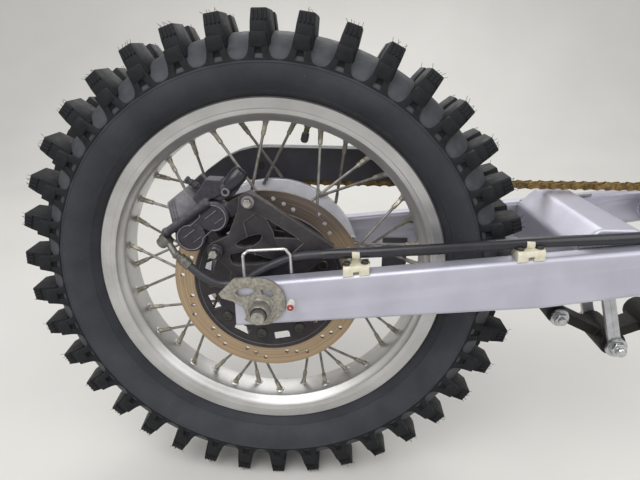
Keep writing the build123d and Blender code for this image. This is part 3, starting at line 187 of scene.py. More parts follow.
def worn_disc():
    """Ground brake disc steel: tan film below, and painted shade that darkens it above, with wear rings."""
    made, tree, shader, place = new_material("worn_disc_steel")
    # wear rings of half a millimetre, drawn 2.2 mm apart so that they show
    lines = add(tree, "ShaderNodeTexNoise", {"W": from_axle(tree, place), "Scale": 1 / (2.2 * MM), "Detail": 2},
                noise_dimensions="1D").outputs["Fac"]
    film = two_tone(tree, lines, "#B39C80", "#9A846A", 0.3, 0.7)
    painted_shade_above = two_tone(tree, lines, "#4A464E", "#2C2930", 0.3, 0.7)
    # painted shade: the disc goes from the tan film below to a dark tone above
    height = add(tree, "ShaderNodeSeparateXYZ", {0: place}).outputs["Z"]
    high = add(tree, "ShaderNodeMapRange", {
        "Value": height, "From Min": -0.03, "From Max": 0.03, "To Max": 0.75}, interpolation_type="SMOOTHSTEP")
    tone = add(tree, "ShaderNodeMix", {
        "Factor": high.outputs["Result"], 6: film, 7: painted_shade_above}, data_type="RGBA").outputs[2]
    slow = add(tree, "ShaderNodeTexNoise", {"Vector": place, "Scale": 1 / (30 * MM), "Detail": 4}).outputs["Fac"]
    tone = laid_over(tree, tone, slow, 0.45, 0.75, 0.15, "#75644F")
    relief = add(tree, "ShaderNodeBump", {"Height": lines, "Distance": 0.05 * MM}).outputs["Normal"]
    surface(tree, shader, tone, lines, 0.2, 0.8, 0.34, 0.52, relief, 0.5)
    return made


def moulded_tyre():
    """Moulded tyre rubber: matt charcoal with a bluish bloom, and paler dust in the scoops between the ribs."""
    made, tree, shader, place = new_material("tyre_rubber")
    slow = add(tree, "ShaderNodeTexNoise", {"Vector": place, "Scale": 1 / (55 * MM), "Detail": 4}).outputs["Fac"]
    tone = two_tone(tree, slow, "#35363B", "#414247", 0.35, 0.7)
    tread = add(tree, "ShaderNodeMapRange", {"Value": from_axle(tree, place), "From Min": 0.280, "From Max": 0.288})
    clouds = add(tree, "ShaderNodeTexNoise", {"Vector": place, "Scale": 1 / (9 * MM), "Detail": 4}).outputs["Fac"]
    dusty = add(tree, "ShaderNodeMath", {0: tread.outputs["Result"], 1: clouds}, operation="MULTIPLY").outputs[0]
    tone = laid_over(tree, tone, dusty, 0.2, 0.7, 0.7, "#535458")
    fine = add(tree, "ShaderNodeTexNoise", {"Vector": place, "Scale": 1 / (2.4 * MM), "Detail": 2}).outputs["Fac"]
    tone = laid_over(tree, tone, fine, 0.74, 0.78, 0.4, "#8C8780")
    relief = grained(tree, place, 7, 0.25, 2, grained(tree, place, 1.6, 0.12))
    surface(tree, shader, tone, clouds, 0.3, 0.7, 0.5, 0.68, relief, 0, 0.2)
    return made


MATERIALS = {
    "satin_aluminium": anodised_extrusion(),
    "rim_aluminium": polished_rim(),
    "disc_steel": worn_disc(),
    "tyre_rubber": moulded_tyre(),
    # sand cast, then machined: slightly grainy, bright where it was turned
    "hub_aluminium": weathered(
        "cast_hub_aluminium", "#D6D6DC", "#C3C3C9", 18, 1.2, 0.04, 0.35, 0.36, 0.06, "#A09A92", 0.15),
    # the knobs rub clean: darker than the wall, with pores and a little dust on top
    "knob_rubber": weathered(
        "clean_knob_rubber", "#17181A", "#202123", 10, 1.4, 0.15, 0, 0.55, 0.1, "#454649", 0.3, gloss=0.15),
    # extruded hose rubber: semi-gloss black, its paler upward faces painted top light as well as dust
    "black_rubber": weathered(
        "black_hose_rubber", "#313136", "#38383D", 20, 1.5, 0.03, 0, 0.34, 0.06, "#66666C", 0.25, gloss=0.4),
    # stove enamel on steel plate, under brown road dust, with rubbed edges; its paler upward faces are painted top
    # light as well as dust
    "black_steel": weathered(
        "black_enamelled_steel", "#29272B", "#333034", 15, 1.2, 0.05, 0, 0.45, 0.08, "#6E6866", 0.45,
        "#868280", 1.5, gloss=0.2),
    # anodised casting, with a fine sand texture, dust and rubbed edges
    "black_casting": weathered(
        "black_anodised_casting", "#2C2930", "#232126", 12, 0.8, 0.08, 0, 0.46, 0.08, "#7E7A80", 0.6,
        "#6E6A72", 1.5, gloss=0.25),
    # zinc plate on turned and rolled steel: grey with brown dirt on top
    "plated_steel": weathered(
        "zinc_plated_steel", "#B2B1AC", "#938F88", 8, 0.8, 0.04, 0.8, 0.32, 0.08, "#6E6456", 0.35),
    # yellow passivated zinc, which goes cream with age
    "cream_plated_steel": weathered(
        "yellow_passivated_zinc", "#DEDAC8", "#CFC8B0", 7, 0.7, 0.05, 0.2, 0.42, 0.08, "#A09880", 0.3),
    # forged steel with dull plate and grime: rough and greenish brown
    "dusty_steel": weathered(
        "dull_forged_steel", "#A8A39A", "#817C70", 4, 0.9, 0.25, 0.3, 0.55, 0.1, "#5C564A", 0.35),
    # drawn galvanised wire gone dull
    "spoke_steel": weathered(
        "dull_galvanised_wire", "#94908C", "#726E6A", 9, 0.8, 0.04, 0.6, 0.42, 0.1, "#5C564E", 0.3),
    # nickelled brass worn dull
    "nipple_brass": weathered("worn_nickelled_brass", "#A39E90", "#837E70", 5, 0.6, 0.04, 0.6, 0.4, 0.1),
    # gold plated plates under oil and dust, with a painted highlight along their edges
    "chain_steel": weathered(
        "gold_plated_chain_steel", "#9A7D48", "#4E3E26", 9, 0.8, 0.06, 0.5, 0.42, 0.1, "#3A3024", 0.4,
        "#B89A5E", 0.8),
    # injection moulded polypropylene, slightly scuffed
    "guard_plastic": weathered(
        "moulded_polypropylene", "#45444B", "#4E4D55", 25, 0.9, 0.05, 0, 0.48, 0.08, "#605C58", 0.2, gloss=0.25),
    # drawn bar, satin plated
    "rod_steel": weathered("satin_plated_bar", "#C6C7CC", "#B4B5B8", 14, 0.8, 0.03, 0.6, 0.36, 0.06, "#8A847A", 0.2),
    # bright nickel on drawn wire
    "bright_wire": weathered("bright_plated_wire", "#DAD9D6", "#C9C8C4", 9, 0.8, 0.02, 0.6, 0.28, 0.06),
    # hot pressed friction block: coarse and dark
    "pad_friction": weathered("pressed_friction_block", "#3C3733", "#2E2A27", 4, 0.8, 0.15, 0, 0.8, 0.05),
    # turned brass gone olive grey
    "valve_brass": weathered("turned_brass", "#8F8B72", "#77735C", 5, 0.6, 0.03, 0.5, 0.4, 0.08),
    # moulded nylon, white
    "pin_white": weathered("white_nylon", "#D9D6CE", "#C9C5BB", 4, 0.7, 0.03, 0, 0.5, 0.05),
    # brushed lacquer
    "pin_red": weathered("red_lacquer", "#A63A36", "#8C2A28", 4, 0.7, 0.03, 0, 0.4, 0.05),
    # chromed nuts: bright, with a little dust
    "chrome": weathered("chromed_steel", "#C9CACC", "#B4B6B8", 6, 0.6, 0.02, 0.9, 0.2, 0.05, "#6E6A62", 0.25),
    # oxide black screws
    "dark_screw": weathered("blackened_steel", "#4A4946", "#3A3936", 3, 0.5, 0.04, 0.6, 0.42, 0.08, "#6A6458", 0.4),
    # turned crimp fitting: grey, matt
    "crimped_steel": weathered(
        "phosphated_steel", "#7C7C76", "#666660", 5, 0.6, 0.05, 0.6, 0.42, 0.08, "#5A5348", 0.4),
    # the same casting made lighter, still matt, on its raised parts: a painted highlight
    "casting_painted_highlight": weathered(
        "anodised_casting_painted_highlight", "#7B797F", "#646268", 8, 0.8, 0.06, 0.1, 0.5, 0.06, "#8E8A88", 0.3),
    # forged lever under chassis paint and oil: nearly black
    "painted_forging": weathered(
        "black_painted_forging", "#1A1A1B", "#232322", 14, 1.4, 0.12, 0, 0.5, 0.08, "#544E46", 0.3, gloss=0.2),
    # glossy moulded boots and tubes
    "gloss_rubber": weathered("glossy_moulded_rubber", "#222228", "#2A2A30", 30, 1.2, 0.015, 0, 0.26, 0.03),
    # the moulding's top face in a paler grey
    "grey_plastic": weathered("paler_top_polypropylene", "#8A8A8C", "#77777A", 14, 0.8, 0.05, 0, 0.55, 0.06),
}

NODE_SLOTS = {part["node"]: part["material_slot"] for part in frame["record"]["subparts"]}
for node_name, obj in NODES.items():
    obj.data.materials.clear()
    obj.data.materials.append(MATERIALS[NODE_SLOTS[node_name]])


# Making pieces: sizes are in mm, x and z from the axle, y from the wheel's middle plane

def clear():
    if bpy.context.object and bpy.context.object.mode != "OBJECT":
        bpy.ops.object.mode_set(mode="OBJECT")
    bpy.ops.object.select_all(action="DESELECT")


def pick(piece):
    clear()
    piece.select_set(True)
    bpy.context.view_layer.objects.active = piece
    return piece


def apply_all(piece):
    """Apply the piece's place and its modifiers."""
    pick(piece)
    bpy.ops.object.transform_apply(location=True, rotation=True, scale=True)
    for modifier in list(piece.modifiers):
        bpy.ops.object.modifier_apply(modifier=modifier.name)
    return piece


def tidy_mesh(piece, merge_mm=0.005):
    """Merge doubles and point the faces outwards."""
    pick(piece)
    bpy.ops.object.mode_set(mode="EDIT")
    bpy.ops.mesh.select_all(action="SELECT")
    bpy.ops.mesh.remove_doubles(threshold=merge_mm * MM)
    bpy.ops.mesh.normals_make_consistent(inside=False)
    bpy.ops.object.mode_set(mode="OBJECT")
    return piece


def rounded(piece, width_mm, segments=2, angle=30):
    """Round the piece's sharp edges."""
    pick(piece)
    bevel = piece.modifiers.new("edges", "BEVEL")
    bevel.width = width_mm * MM
    bevel.segments = segments
    bevel.limit_method = "ANGLE"
    bevel.angle_limit = math.radians(angle)
    bpy.ops.object.modifier_apply(modifier=bevel.name)
    return piece


def smooth(piece, angle=38):
    pick(piece)
    bpy.ops.object.shade_smooth_by_angle(angle=math.radians(angle))
    return piece


def moved(piece, matrix):
    """Place the piece's mesh by a matrix."""
    piece.data.transform(matrix)
    piece.data.update()
    return piece


def copied(piece, matrix=Matrix.Identity(4)):
    """A copy with its own mesh, placed by a matrix."""
    other = piece.copy()
    other.data = piece.data.copy()
    bpy.context.scene.collection.objects.link(other)
    return moved(other, matrix)


def joined(pieces):
    clear()
    for piece in pieces:
        piece.select_set(True)
    bpy.context.view_layer.objects.active = pieces[0]
    bpy.ops.object.join()
    return bpy.context.object


def round_about(piece, count, first=0):
    """Copies of the piece about the wheel's axis; angles go from forward upwards."""
    copies = []
    for number in range(count):
        turn = Matrix.Rotation(-math.radians(first + number * 360 / count), 4, "Y")
        copies.append(copied(piece, ON_AXLE @ turn @ ON_AXLE.inverted()))
    bpy.data.objects.remove(piece)
    return joined(copies)


def mirrored(piece):
    """A copy on the machine's other side."""
    return tidy_mesh(copied(piece, Matrix.Scale(-1, 4, (0, 1, 0))), 0.001)


def done(piece, name, slot=None, nodes=(), look=None, body="swingarm"):
    """Name the piece, give it its material, and let it ride on its body."""
    piece.name = name
    piece.data.name = name
    piece.data.materials.clear()
    piece.data.materials.append(MATERIALS[look or slot])
    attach(piece, body)
    if nodes:
        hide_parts(*nodes)
    return piece


def at(x, z, base=ON_AXLE):
    return base @ Matrix.Translation(Vector((x, 0, z)) * MM)


def along(first, second, base=ON_AXLE):
    """A place whose Y runs from the first point to the second."""
    run = base.to_3x3() @ (Vector(second) - Vector(first))
    return Matrix.Translation(base @ (Vector(first) * MM)) @ run.to_track_quat("Y", "Z").to_matrix().to_4x4()


def lathe(outline, steps, place=ON_AXLE):
    """Spin an outline of (radius, y) points about a place's Y; one from radius 0 back to radius 0 is a solid bar."""
    clear()
    bpy.ops.mesh.primitive_circle_add(vertices=len(outline), radius=1, fill_type="NOTHING")
    piece = bpy.context.object
    for vertex, (radius, y) in zip(piece.data.vertices, outline):
        vertex.co = (radius * MM, y * MM, 0)
    bpy.ops.object.mode_set(mode="EDIT")
    if outline[0][0] == 0 and outline[-1][0] == 0:
        bpy.ops.mesh.select_mode(type="EDGE")
        bpy.ops.mesh.select_all(action="DESELECT")
        bpy.ops.object.mode_set(mode="OBJECT")
        for edge in piece.data.edges:
            edge.select = set(edge.vertices) == {0, len(outline) - 1}
        bpy.ops.object.mode_set(mode="EDIT")
        bpy.ops.mesh.delete(type="EDGE")
        bpy.ops.mesh.select_mode(type="VERT")
    bpy.ops.mesh.select_all(action="SELECT")
    bpy.ops.mesh.spin(steps=steps, angle=2 * math.pi, center=(0, 0, 0), axis=(0, 1, 0))
    bpy.ops.object.mode_set(mode="OBJECT")
    return moved(tidy_mesh(piece), place)


def plate(outline, low, high, place=ON_AXLE):
    """An outline of (x, z) points, filled and pulled from y low to y high."""
    clear()
    bpy.ops.mesh.primitive_circle_add(vertices=len(outline), radius=1, fill_type="NGON")
    piece = bpy.context.object
    for vertex, (x, z) in zip(piece.data.vertices, outline):
        vertex.co = (x * MM, low * MM, z * MM)
    bpy.ops.object.mode_set(mode="EDIT")
    bpy.ops.mesh.select_all(action="SELECT")
    bpy.ops.mesh.extrude_region_move(TRANSFORM_OT_translate={"value": (0, (high - low) * MM, 0)})
    bpy.ops.object.mode_set(mode="OBJECT")
    return moved(tidy_mesh(piece), place)


def rod(radius, low, high, place=ON_AXLE, steps=32, edge=0.6):
    """A round bar along Y with broken edges."""
    return lathe([(0, low), (radius - edge, low), (radius, low + edge), (radius, high - edge), (radius - edge, high),
                  (0, high)], steps, place)


def bar_between(first, second, radius, sides=12):
    """A straight bar between two points."""
    first, second = Vector(first) * MM, Vector(second) * MM
    run = second - first
    clear()
    bpy.ops.mesh.primitive_cylinder_add(
        vertices=sides, radius=radius * MM, depth=run.length, location=AXLE + (first + second) / 2,
        rotation=run.to_track_quat("Z", "Y").to_euler())
    return apply_all(bpy.context.object)


def shaped(piece, tool, how="DIFFERENCE"):
    """Cut the tool out of the piece, or with "INTERSECT" keep what they share."""
    pick(piece)
    cutter = piece.modifiers.new("shape", "BOOLEAN")
    cutter.operation = how
    cutter.solver = "EXACT"
    cutter.object = tool
    bpy.ops.object.modifier_apply(modifier=cutter.name)
    bpy.data.objects.remove(tool)
    return piece


def six_corners(radius):
    return [(radius * math.cos(k * math.pi / 3), radius * math.sin(k * math.pi / 3)) for k in range(6)]


def hexagon(flats, low, high, place=ON_AXLE, chamfer_low=True, chamfer_high=False):
    """A hexagon bar along Y, with a turned chamfer at its free end or ends."""
    corner = flats / math.sqrt(3)
    head = plate(six_corners(corner), low, high, place)
    drop = 0.1 * flats
    turned = [(0, low), (flats * 0.47, low), (corner + 0.3, low + drop)] if chamfer_low else [
        (0, low - 1), (corner + 0.3, low - 1)]
    turned += [(corner + 0.3, high - drop), (flats * 0.47, high), (0, high)] if chamfer_high else [
        (corner + 0.3, high + 1), (0, high + 1)]
    return rounded(shaped(head, lathe(turned, 36, place), "INTERSECT"), 0.25, 1)


def cast(pieces, grain_mm, rounds):
    """Solids melted into one casting, with soft fillets where they meet."""
    piece = joined(pieces)
    pick(piece)
    melt = piece.modifiers.new("melt", "REMESH")
    melt.mode = "VOXEL"
    melt.voxel_size = grain_mm * MM
    even = piece.modifiers.new("even", "SMOOTH")
    even.factor = 0.5
    even.iterations = rounds
    for modifier in (melt.name, even.name):
        bpy.ops.object.modifier_apply(modifier=modifier)
    bpy.ops.object.shade_smooth()
    return piece


def node_copy(node):
    """The CAD node's mesh as a piece of its own."""
    piece = copied(NODES[node])
    piece.parent = None
    for key in list(piece.keys()):
        del piece[key]
    return piece


def from_solid(node, edge_mm, segments=2, angle=30):
    """The CAD node's own shape, merged, with its edges rounded."""
    piece = pick(node_copy(node))
    bpy.ops.object.mode_set(mode="EDIT")
    bpy.ops.mesh.select_all(action="SELECT")
    bpy.ops.mesh.remove_doubles(threshold=0.002 * MM)
    bpy.ops.mesh.dissolve_limited(angle_limit=math.radians(1))
    bpy.ops.object.mode_set(mode="OBJECT")
    rounded(piece, edge_mm, segments, angle)
    return smooth(piece)


def point_at(radius, degrees, y=0):
    a = math.radians(degrees)
    return Vector((radius * math.cos(a), y, radius * math.sin(a)))


def at_angle(radius, degrees):
    """A place on the wheel at an angle from forward upwards."""
    spot = point_at(radius, degrees)
    return at(spot.x, spot.z)


def arc(radius, first, last, count, x=0, z=0):
    """Points of an arc, angles in degrees."""
    angles = [math.radians(first + (last - first) * k / (count - 1)) for k in range(count)]
    return [(x + radius * math.cos(a), z + radius * math.sin(a)) for a in angles]


def beam(first, second, half):
    """Outline of a straight arm with round ends."""
    lean = math.degrees(math.atan2(second[1] - first[1], second[0] - first[0]))
    return arc(half, lean + 90, lean + 270, 12, *first) + arc(half, lean - 90, lean + 90, 12, *second)


# Tyre

def tyre():
    half = [(229.6, 20.5), (229.6, 30), (242.5, 30.2), (244.5, 33), (246.8, 38.5), (249, 42), (249.6, 43.4),
            (250.3, 42.9), (256, 49.2), (263, 54), (270, 57), (277, 58.4), (280.4, 58.7), (280.9, 59.3),
            (281.8, 59.3), (282.3, 58.6), (288, 57), (294, 53.6), (301, 47.6), (307, 40), (312, 30),
            (315.5, 18), (317.5, 6)]
    inner = [(306, 0), (302, 20), (290, 42), (270, 49), (250, 38), (242.5, 22)]
    outline = [(r, -y) for r, y in half] + [(r, y) for r, y in reversed(half)]
    outline += [(r, y) for r, y in reversed(inner)] + [(r, -y) for r, y in inner[1:]]
    carcass = lathe(outline, 4 * ROWS)

    # rib between two scoops, drawn at the top of the wheel: x along the tread, z the radius
    side = [(23.4, 283.5), (20.5, 283.9), (17, 285.2), (14.2, 288), (12.2, 292.5), (11, 298), (10, 306), (9.4, 313)]
    rib = plate(side + [(-x, z) for x, z in reversed(side)], 30, 59.2, DRAWN)
    shaped(rib, plate([(-5.6, 285.5), (5.6, 285.5), (3.6, 297), (-3.6, 297)], 55.5, 62, DRAWN))
    rounded(rib, 0.8)
    step = rounded(plate([(-9.2, 297.5), (9.2, 297.5), (9, 313.5), (-9, 313.5)], 46, 60, DRAWN), 1)
    # the knob leans in towards its top; its forward side is wider than the rib
    knob = plate([(-10.6, 300), (15.6, 300), (13.8, 325), (12.6, 339.6), (-8.6, 339.6), (-9.8, 325)],
                 7, 52.5, DRAWN)
    for vertex in knob.data.vertices:
        rise = max(0, (vertex.co.z / MM - 312) / 28)
        if vertex.co.y / MM > 30:
            vertex.co.y -= 7 * rise * MM
            if vertex.co.x > 0:
                vertex.co.x -= 2.5 * MM
        else:
            vertex.co.y += 4 * rise * MM
    rounded(knob, 1.3)
    # four narrow lands with slots between them, on the knob's outer face near its top
    lands = []
    for number in range(4):
        x = -7.4 + number * 4.9
        land = plate([(x, 327), (x + 2.6, 327), (x + 2.2, 338.4), (x, 338.4)], 43, 49.4, DRAWN)
        for vertex in land.data.vertices:
            if vertex.co.y / MM > 45:
                vertex.co.y += (0.9 - 0.22 * (vertex.co.z / MM - 326)) * MM
        lands.append(rounded(land, 0.4, 1))
    right = joined([rib, step, knob] + lands)
    row = joined([right, mirrored(right)])
    moved(row, ON_AXLE @ Matrix.Rotation(math.radians(90), 4, "Y"))
    rows = round_about(row, ROWS, ROW_ANGLE)

    # moulding hairs along the knobs' tops, but for those that would reach out of the solids' box
    hairs = []
    rng = random.Random(7)
    for number in range(ROWS):
        for sign in (-1, 1):
            for spot in range(5):
                angle = ROW_ANGLE + number * 360 / ROWS - 1.5 + spot * 0.68 + rng.uniform(-0.1, 0.1)
                lean = rng.uniform(-0.8, 0.8)
                reach = rng.uniform(3, 5.5)
                top = point_at(339 + reach, angle + lean, sign * (44 + rng.uniform(-2, 3)))
                if max(abs(top.x), abs(top.z)) < 340.5:
                    hairs.append(bar_between(point_at(338.6, angle, sign * 43.5), top, 0.28, 3))
    done(smooth(carcass, 32), "tyre_carcass", "tyre_rubber", ["tyre"], body="wheel")
    done(smooth(joined([rows] + hairs), 32), "tyre_knobs", None, ["tyre"], look="knob_rubber", body="wheel")


# Rim, spokes and valve

def spoke_lines():
    """(hub end, rim end) of each spoke, in crossed pairs; each side has its own flange and pattern."""
    # first pair's angle, flange radius, hole's inset, half the pair's spread, y outside and inside the flange, side
    sides = [(61, 84, 7, 17, -38, -32, -1), (51, 122.5, 3.5, 6, 40, 28, 1)]
    lines = []
    for pair_angle, flange, inset, spread, outer_y, inner_y, side in sides:
        for pair in range(9):
            middle = pair_angle + pair * 40
            lines.append((point_at(flange - inset, middle + spread, inner_y - side * 2.3),
                          point_at(209.1, middle - 10, side * 7)))
            lines.append((point_at(flange + 2.3, middle - spread, (outer_y + inner_y) / 2),
                          point_at(209.1, middle + 10, side * 7)))
    return lines


def rim():
    side = [(241.5, 30.6), (241.5, 31.8), (239.8, 33.5), (227.6, 33.5), (226.6, 33), (225.4, 32.6), (222, 32.3),
            (220.6, 31.6), (219.4, 29.9), (217.2, 27.4), (214.6, 25.2), (212.2, 23.4), (210.8, 21.6), (210.3, 19),
            (210, 10)]
    bed = [(213, 0), (214.8, 18), (219, 24), (228.6, 27), (230, 30.4), (240.8, 30.4)]
    outline = side + [(209.5, 0)] + [(r, -y) for r, y in reversed(side)]
    outline += [(r, -y) for r, y in reversed(bed)] + bed[1:]
    piece = lathe(outline, 180)
    seats = []
    for _, rim_end in spoke_lines():
        out = Vector((rim_end.x, 0, rim_end.z)).normalized()
        foot = out * 211.5 + Vector((0, rim_end.y, 0))
        raised = [(0, 0), (7.4, 0), (7, 1.2), (5.6, 2.7), (4, 3.3), (0, 3.4)]
        seats.append(lathe(raised, 18, along(foot, foot - out)))
    smooth(joined([piece] + seats), 24)
    done(piece, "rolled_rim", "rim_aluminium", ["rim"], body="wheel")


def spokes():
    wires = []
    nipples = []
    for number, (hub_end, rim_end) in enumerate(spoke_lines()):
        run = (rim_end - hub_end).normalized()
        joint = rim_end - run * 19
        wires.append(bar_between(hub_end, joint + run * 3, 1.95, 12))
        # the wire is thicker at its elbow, and ends in a flat head on the flange
        wires.append(bar_between(hub_end, hub_end + run * 14, 2.3, 12))
        if number % 2 == 0:
            head = Vector((0, math.copysign(9, hub_end.y), 0))
        else:
            head = Vector((-hub_end.x, 0, -hub_end.z)).normalized() * 6
        wires.append(bar_between(hub_end, hub_end + head, 2.3, 12))
        nipples.append(lathe([(0, 0.5), (3.9, 0.5), (3.9, -2.2), (3.5, -3.6), (3.4, -5), (0, -5)], 14,
                             along(rim_end, rim_end + run)))
        square = bar_between(rim_end - run * 4.5, rim_end - run * 13, 3.7, 4)
        nipples.append(rounded(square, 0.35, 1))
        nipples.append(bar_between(rim_end - run * 12.5, joint, 3.1, 14))
    done(smooth(joined(wires)), "crossed_spokes", "spoke_steel", ["spokes"], body="wheel")
    done(smooth(joined(nipples)), "spoke_nipples", "nipple_brass", ["nipples"], body="wheel")


def valve():
    place = along(point_at(209.3, 76), point_at(180, 76))
    nut = rounded(plate(six_corners(5.6), 0, 3, place), 0.4, 1)
    thread = [(0, 0), (3.4, 0)]
    for turn in range(11):
        thread += [(3.9, 0.4 + turn), (3.5, 0.9 + turn)]
    stem = lathe(thread + [(0, 11.4)], 20, place)
    done(smooth(joined([nut, stem])), "valve_stem", None, ["valve"], look="valve_brass", body="wheel")
    cap = lathe([(0, 11), (4.6, 11), (5, 11.6), (5, 13), (4.7, 13.4), (4.7, 21.5), (3.9, 23.2), (2.2, 24),
                 (0, 24.2)], 24, place)
    grips = []
    for k in range(12):
        a = k * math.pi / 6
        grips.append(plate([(-0.45, -0.45), (0.45, -0.45), (0.45, 0.45), (-0.45, 0.45)], 13.6, 21.4,
                           place @ Matrix.Translation(Vector((4.7 * math.cos(a), 0, 4.7 * math.sin(a))) * MM)))
    done(smooth(joined([cap] + grips)), "valve_cap", "black_rubber", body="wheel")


# Hub, disc and sprocket

def disc():
    track = lathe([(128, -57), (128, -52.5), (102, -52.5), (102, -57)], 144)
    holes = []
    for group in range(12):
        for radius, shift in ((109, -7), (113, 0), (118, 7)):
            holes.append(rod(3, -60, -50, at_angle(radius, 18.5 + group * 30 + shift), 20))
    shaped(track, joined(holes))
    smooth(rounded(track, 0.4, 1, 60))
    done(track, "drilled_disc", "disc_steel", ["disc"], body="wheel")
    # spider with a shallow step between its hub ring and the ring that carries the track
    spider = from_solid("disc_carrier", 0.9)
    ring = lathe([(101.2, -56), (101.2, -58.9), (96, -58.9), (95, -56)], 96)
    inner = lathe([(34, -56), (34, -59.4), (52, -59.4), (53.5, -56)], 64)
    smooth(rounded(joined([ring, inner]), 0.4, 1))
    done(joined([spider, ring]), "disc_carrier_plate", "black_steel", ["disc_carrier"], body="wheel")
    head = lathe([(0, -59.4), (3.4, -59.4), (3.6, -60.4), (6, -60.4), (7, -59.6), (7.4, -58.6), (7.4, -57.6),
                  (0, -57.6)], 28, at_angle(78, 0))
    heads = smooth(round_about(head, 9, 61))
    done(heads, "disc_bolt_heads", None, ["disc_bolts"], look="dark_screw", body="wheel")


def hub():
    body = from_solid("hub", 1.2)
    # turned bands on the flange's rim, and a boss under each outer spoke's hole
    band = lathe([(122.2, 29.6), (123.2, 30.2), (123.2, 37.8), (122.2, 38.4), (121, 38.4), (121, 29.6)], 144)
    bosses = []
    for hub_end, _ in spoke_lines()[::2]:
        low, high = (1.6, 12.6) if hub_end.y > 0 else (-12, -1.6)
        bosses.append(rod(4.6, hub_end.y + low, hub_end.y + high, at(hub_end.x, hub_end.z), 16))
    smooth(joined([body, band] + bosses))
    done(body, "cast_hub", "hub_aluminium", ["hub"], body="wheel")
    done(from_solid("wheel_bearings", 0.4), "sealed_bearings", "plated_steel", ["wheel_bearings"], body="wheel")


def sprocket():
    ring = from_solid("sprocket", 0.4, 1)
    shaped(ring, joined([rod(9, 70, 80, at_angle(89, 15 + number * 30), 24) for number in range(12)]))
    done(smooth(ring), "rear_sprocket", "dusty_steel", ["sprocket"], body="wheel")
    washer = rod(8.2, 77.9, 79, at_angle(62, 0), 28, 0.3)
    nut = hexagon(12, 79, 84, at_angle(62, 0), False, True)
    nuts = smooth(round_about(joined([washer, nut]), 6))
    done(nuts, "sprocket_nuts", "plated_steel", ["sprocket_bolts"], body="wheel")


# Chain

def chain_pins():
    """Pin places: in the rear sprocket's gaps, along both runs, and round the front sprocket."""
    # the pitch circles' radii are 111.27 mm for 44 teeth and 33.17 mm for 13, and each run has 42 links
    rear = [point_at(111.27, (n + 0.5) * 360 / TEETH) for n in range(11, 35)]
    front = [point_at(33.17, 6.3 + (n - 2.5) * 27.69) + Vector((660, 0, 73)) for n in range(6)]
    lower = [rear[-1].lerp(front[0], k / 42) for k in range(1, 42)]
    upper = [front[-1].lerp(rear[0], k / 42) for k in range(1, 42)]
    return rear + lower + front + upper


def chain():
    # plates stand either side of the chain's plane, y 75
    sides = {}
    for name, half, low in (("inner", 6.6, 3.3), ("outer", 5.6, 5.1)):
        right = arc(half, -72, 72, 7, 7.94)
        left = arc(half, 108, 252, 7, -7.94)
        outline = right + [(0, half * 0.68)] + left + [(0, -half * 0.68)]
        plates = [plate(outline, 75 + low, 76.6 + low, DRAWN), plate(outline, 73.4 - low, 75 - low, DRAWN)]
        sides[name] = joined(plates)
    roller = rod(4.2, 71.8, 78.2, DRAWN, 12, 0.3)
    rivet = rod(2.4, 67.7, 82.3, DRAWN, 8, 0.5)
    pins = chain_pins()
    plates, rollers = [], []
    for number, (first, second) in enumerate(zip(pins, pins[1:] + pins[:1])):
        run = second - first
        turn = Matrix.Rotation(-math.atan2(run.z, run.x), 4, "Y")
        middle = ON_AXLE @ Matrix.Translation((first + second) / 2 * MM)
        plates.append(copied(sides["outer" if number % 2 else "inner"], middle @ turn))
        rollers.append(copied(roller, ON_AXLE @ Matrix.Translation(first * MM)))
        plates.append(copied(rivet, ON_AXLE @ Matrix.Translation(first * MM)))
    for drawn_piece in list(sides.values()) + [roller, rivet]:
        bpy.data.objects.remove(drawn_piece)
    done(smooth(joined(plates)), "chain_plates", "chain_steel", ["chain"])
    done(smooth(joined(rollers)), "chain_rollers", look="dark_screw")


def chain_covers():
    guard = from_solid("chain_guard", 1)
    # the moulding sags a little on its stays, and its side wall reaches down to the chain
    for vertex in guard.data.vertices:
        height = (vertex.co.z - AXLE.z) / MM
        if height > 100:
            vertex.co.z -= (4 if height > 128 else 7) * MM
    done(guard, "chain_guard_moulding", "guard_plastic", ["chain_guard"])
    # a thin skin that makes the guard's top face a paler grey
    top = [(-123, 115), (-106, 131), (-80.6, 149), (-56.2, 160), (-34.6, 165.5), (-10, 166), (250, 162.5)]
    lip = plate([(x, z - 3.3) for x, z in top] + [(x, z - 4.4) for x, z in reversed(top)], 64.4, 90.2)
    smooth(rounded(lip, 0.3, 1))
    done(lip, "guard_lip", look="grey_plastic")
    head = [(0, 64), (2, 63.6), (5.4, 63.8), (6.2, 64.8), (6.2, 65.6), (0, 65.6)]
    screws = [lathe(head, 24, at(x, 136)) for x in (-25, 215)]
    done(smooth(joined(screws)), "guard_screws", look="dark_screw")
    done(from_solid("chain_guide", 0.8), "chain_guide_trough", "guard_plastic", ["chain_guide"])
    done(from_solid("chain_slider", 0.8), "chain_slider_strip", "black_rubber", ["chain_slider"])


# Arms, pivot and linkage

def seam(first, second):
    """A straight weld bead between two points: overlapping ripples."""
    first, second = Vector(first), Vector(second)
    place = along(first, second)
    ripples = []
    count = round((second - first).length / 3)
    for number in range(count):
        middle = number * (second - first).length / count
        ripples.append(lathe([(0, middle - 1.2), (2.2, middle - 0.8), (3.1, middle + 0.6), (2.4, middle + 2),
                              (0, middle + 2.6)], 10, place))
    return joined(ripples)


def weld(place, radius, low_y, side):
    """A weld bead round a tube where it meets a plate: overlapping ripples."""
    ripple = lathe([(0, -1.7), (1.4, -1.4), (2.4, 0), (1.4, 1.4), (0, 1.7)], 10, DRAWN)
    ripples = []
    count = round(2 * math.pi * radius / 3.2)
    for number in range(count):
        turn = Matrix.Rotation(2 * math.pi * number / count, 4, "Y")
        shift = Matrix.Translation(Vector((radius + 0.6, low_y + side * 0.6, 0)) * MM)
        lean = Matrix.Rotation(math.radians(90), 4, "X")
        ripples.append(copied(ripple, place @ turn @ shift @ lean))
    bpy.data.objects.remove(ripple)
    return joined(ripples)


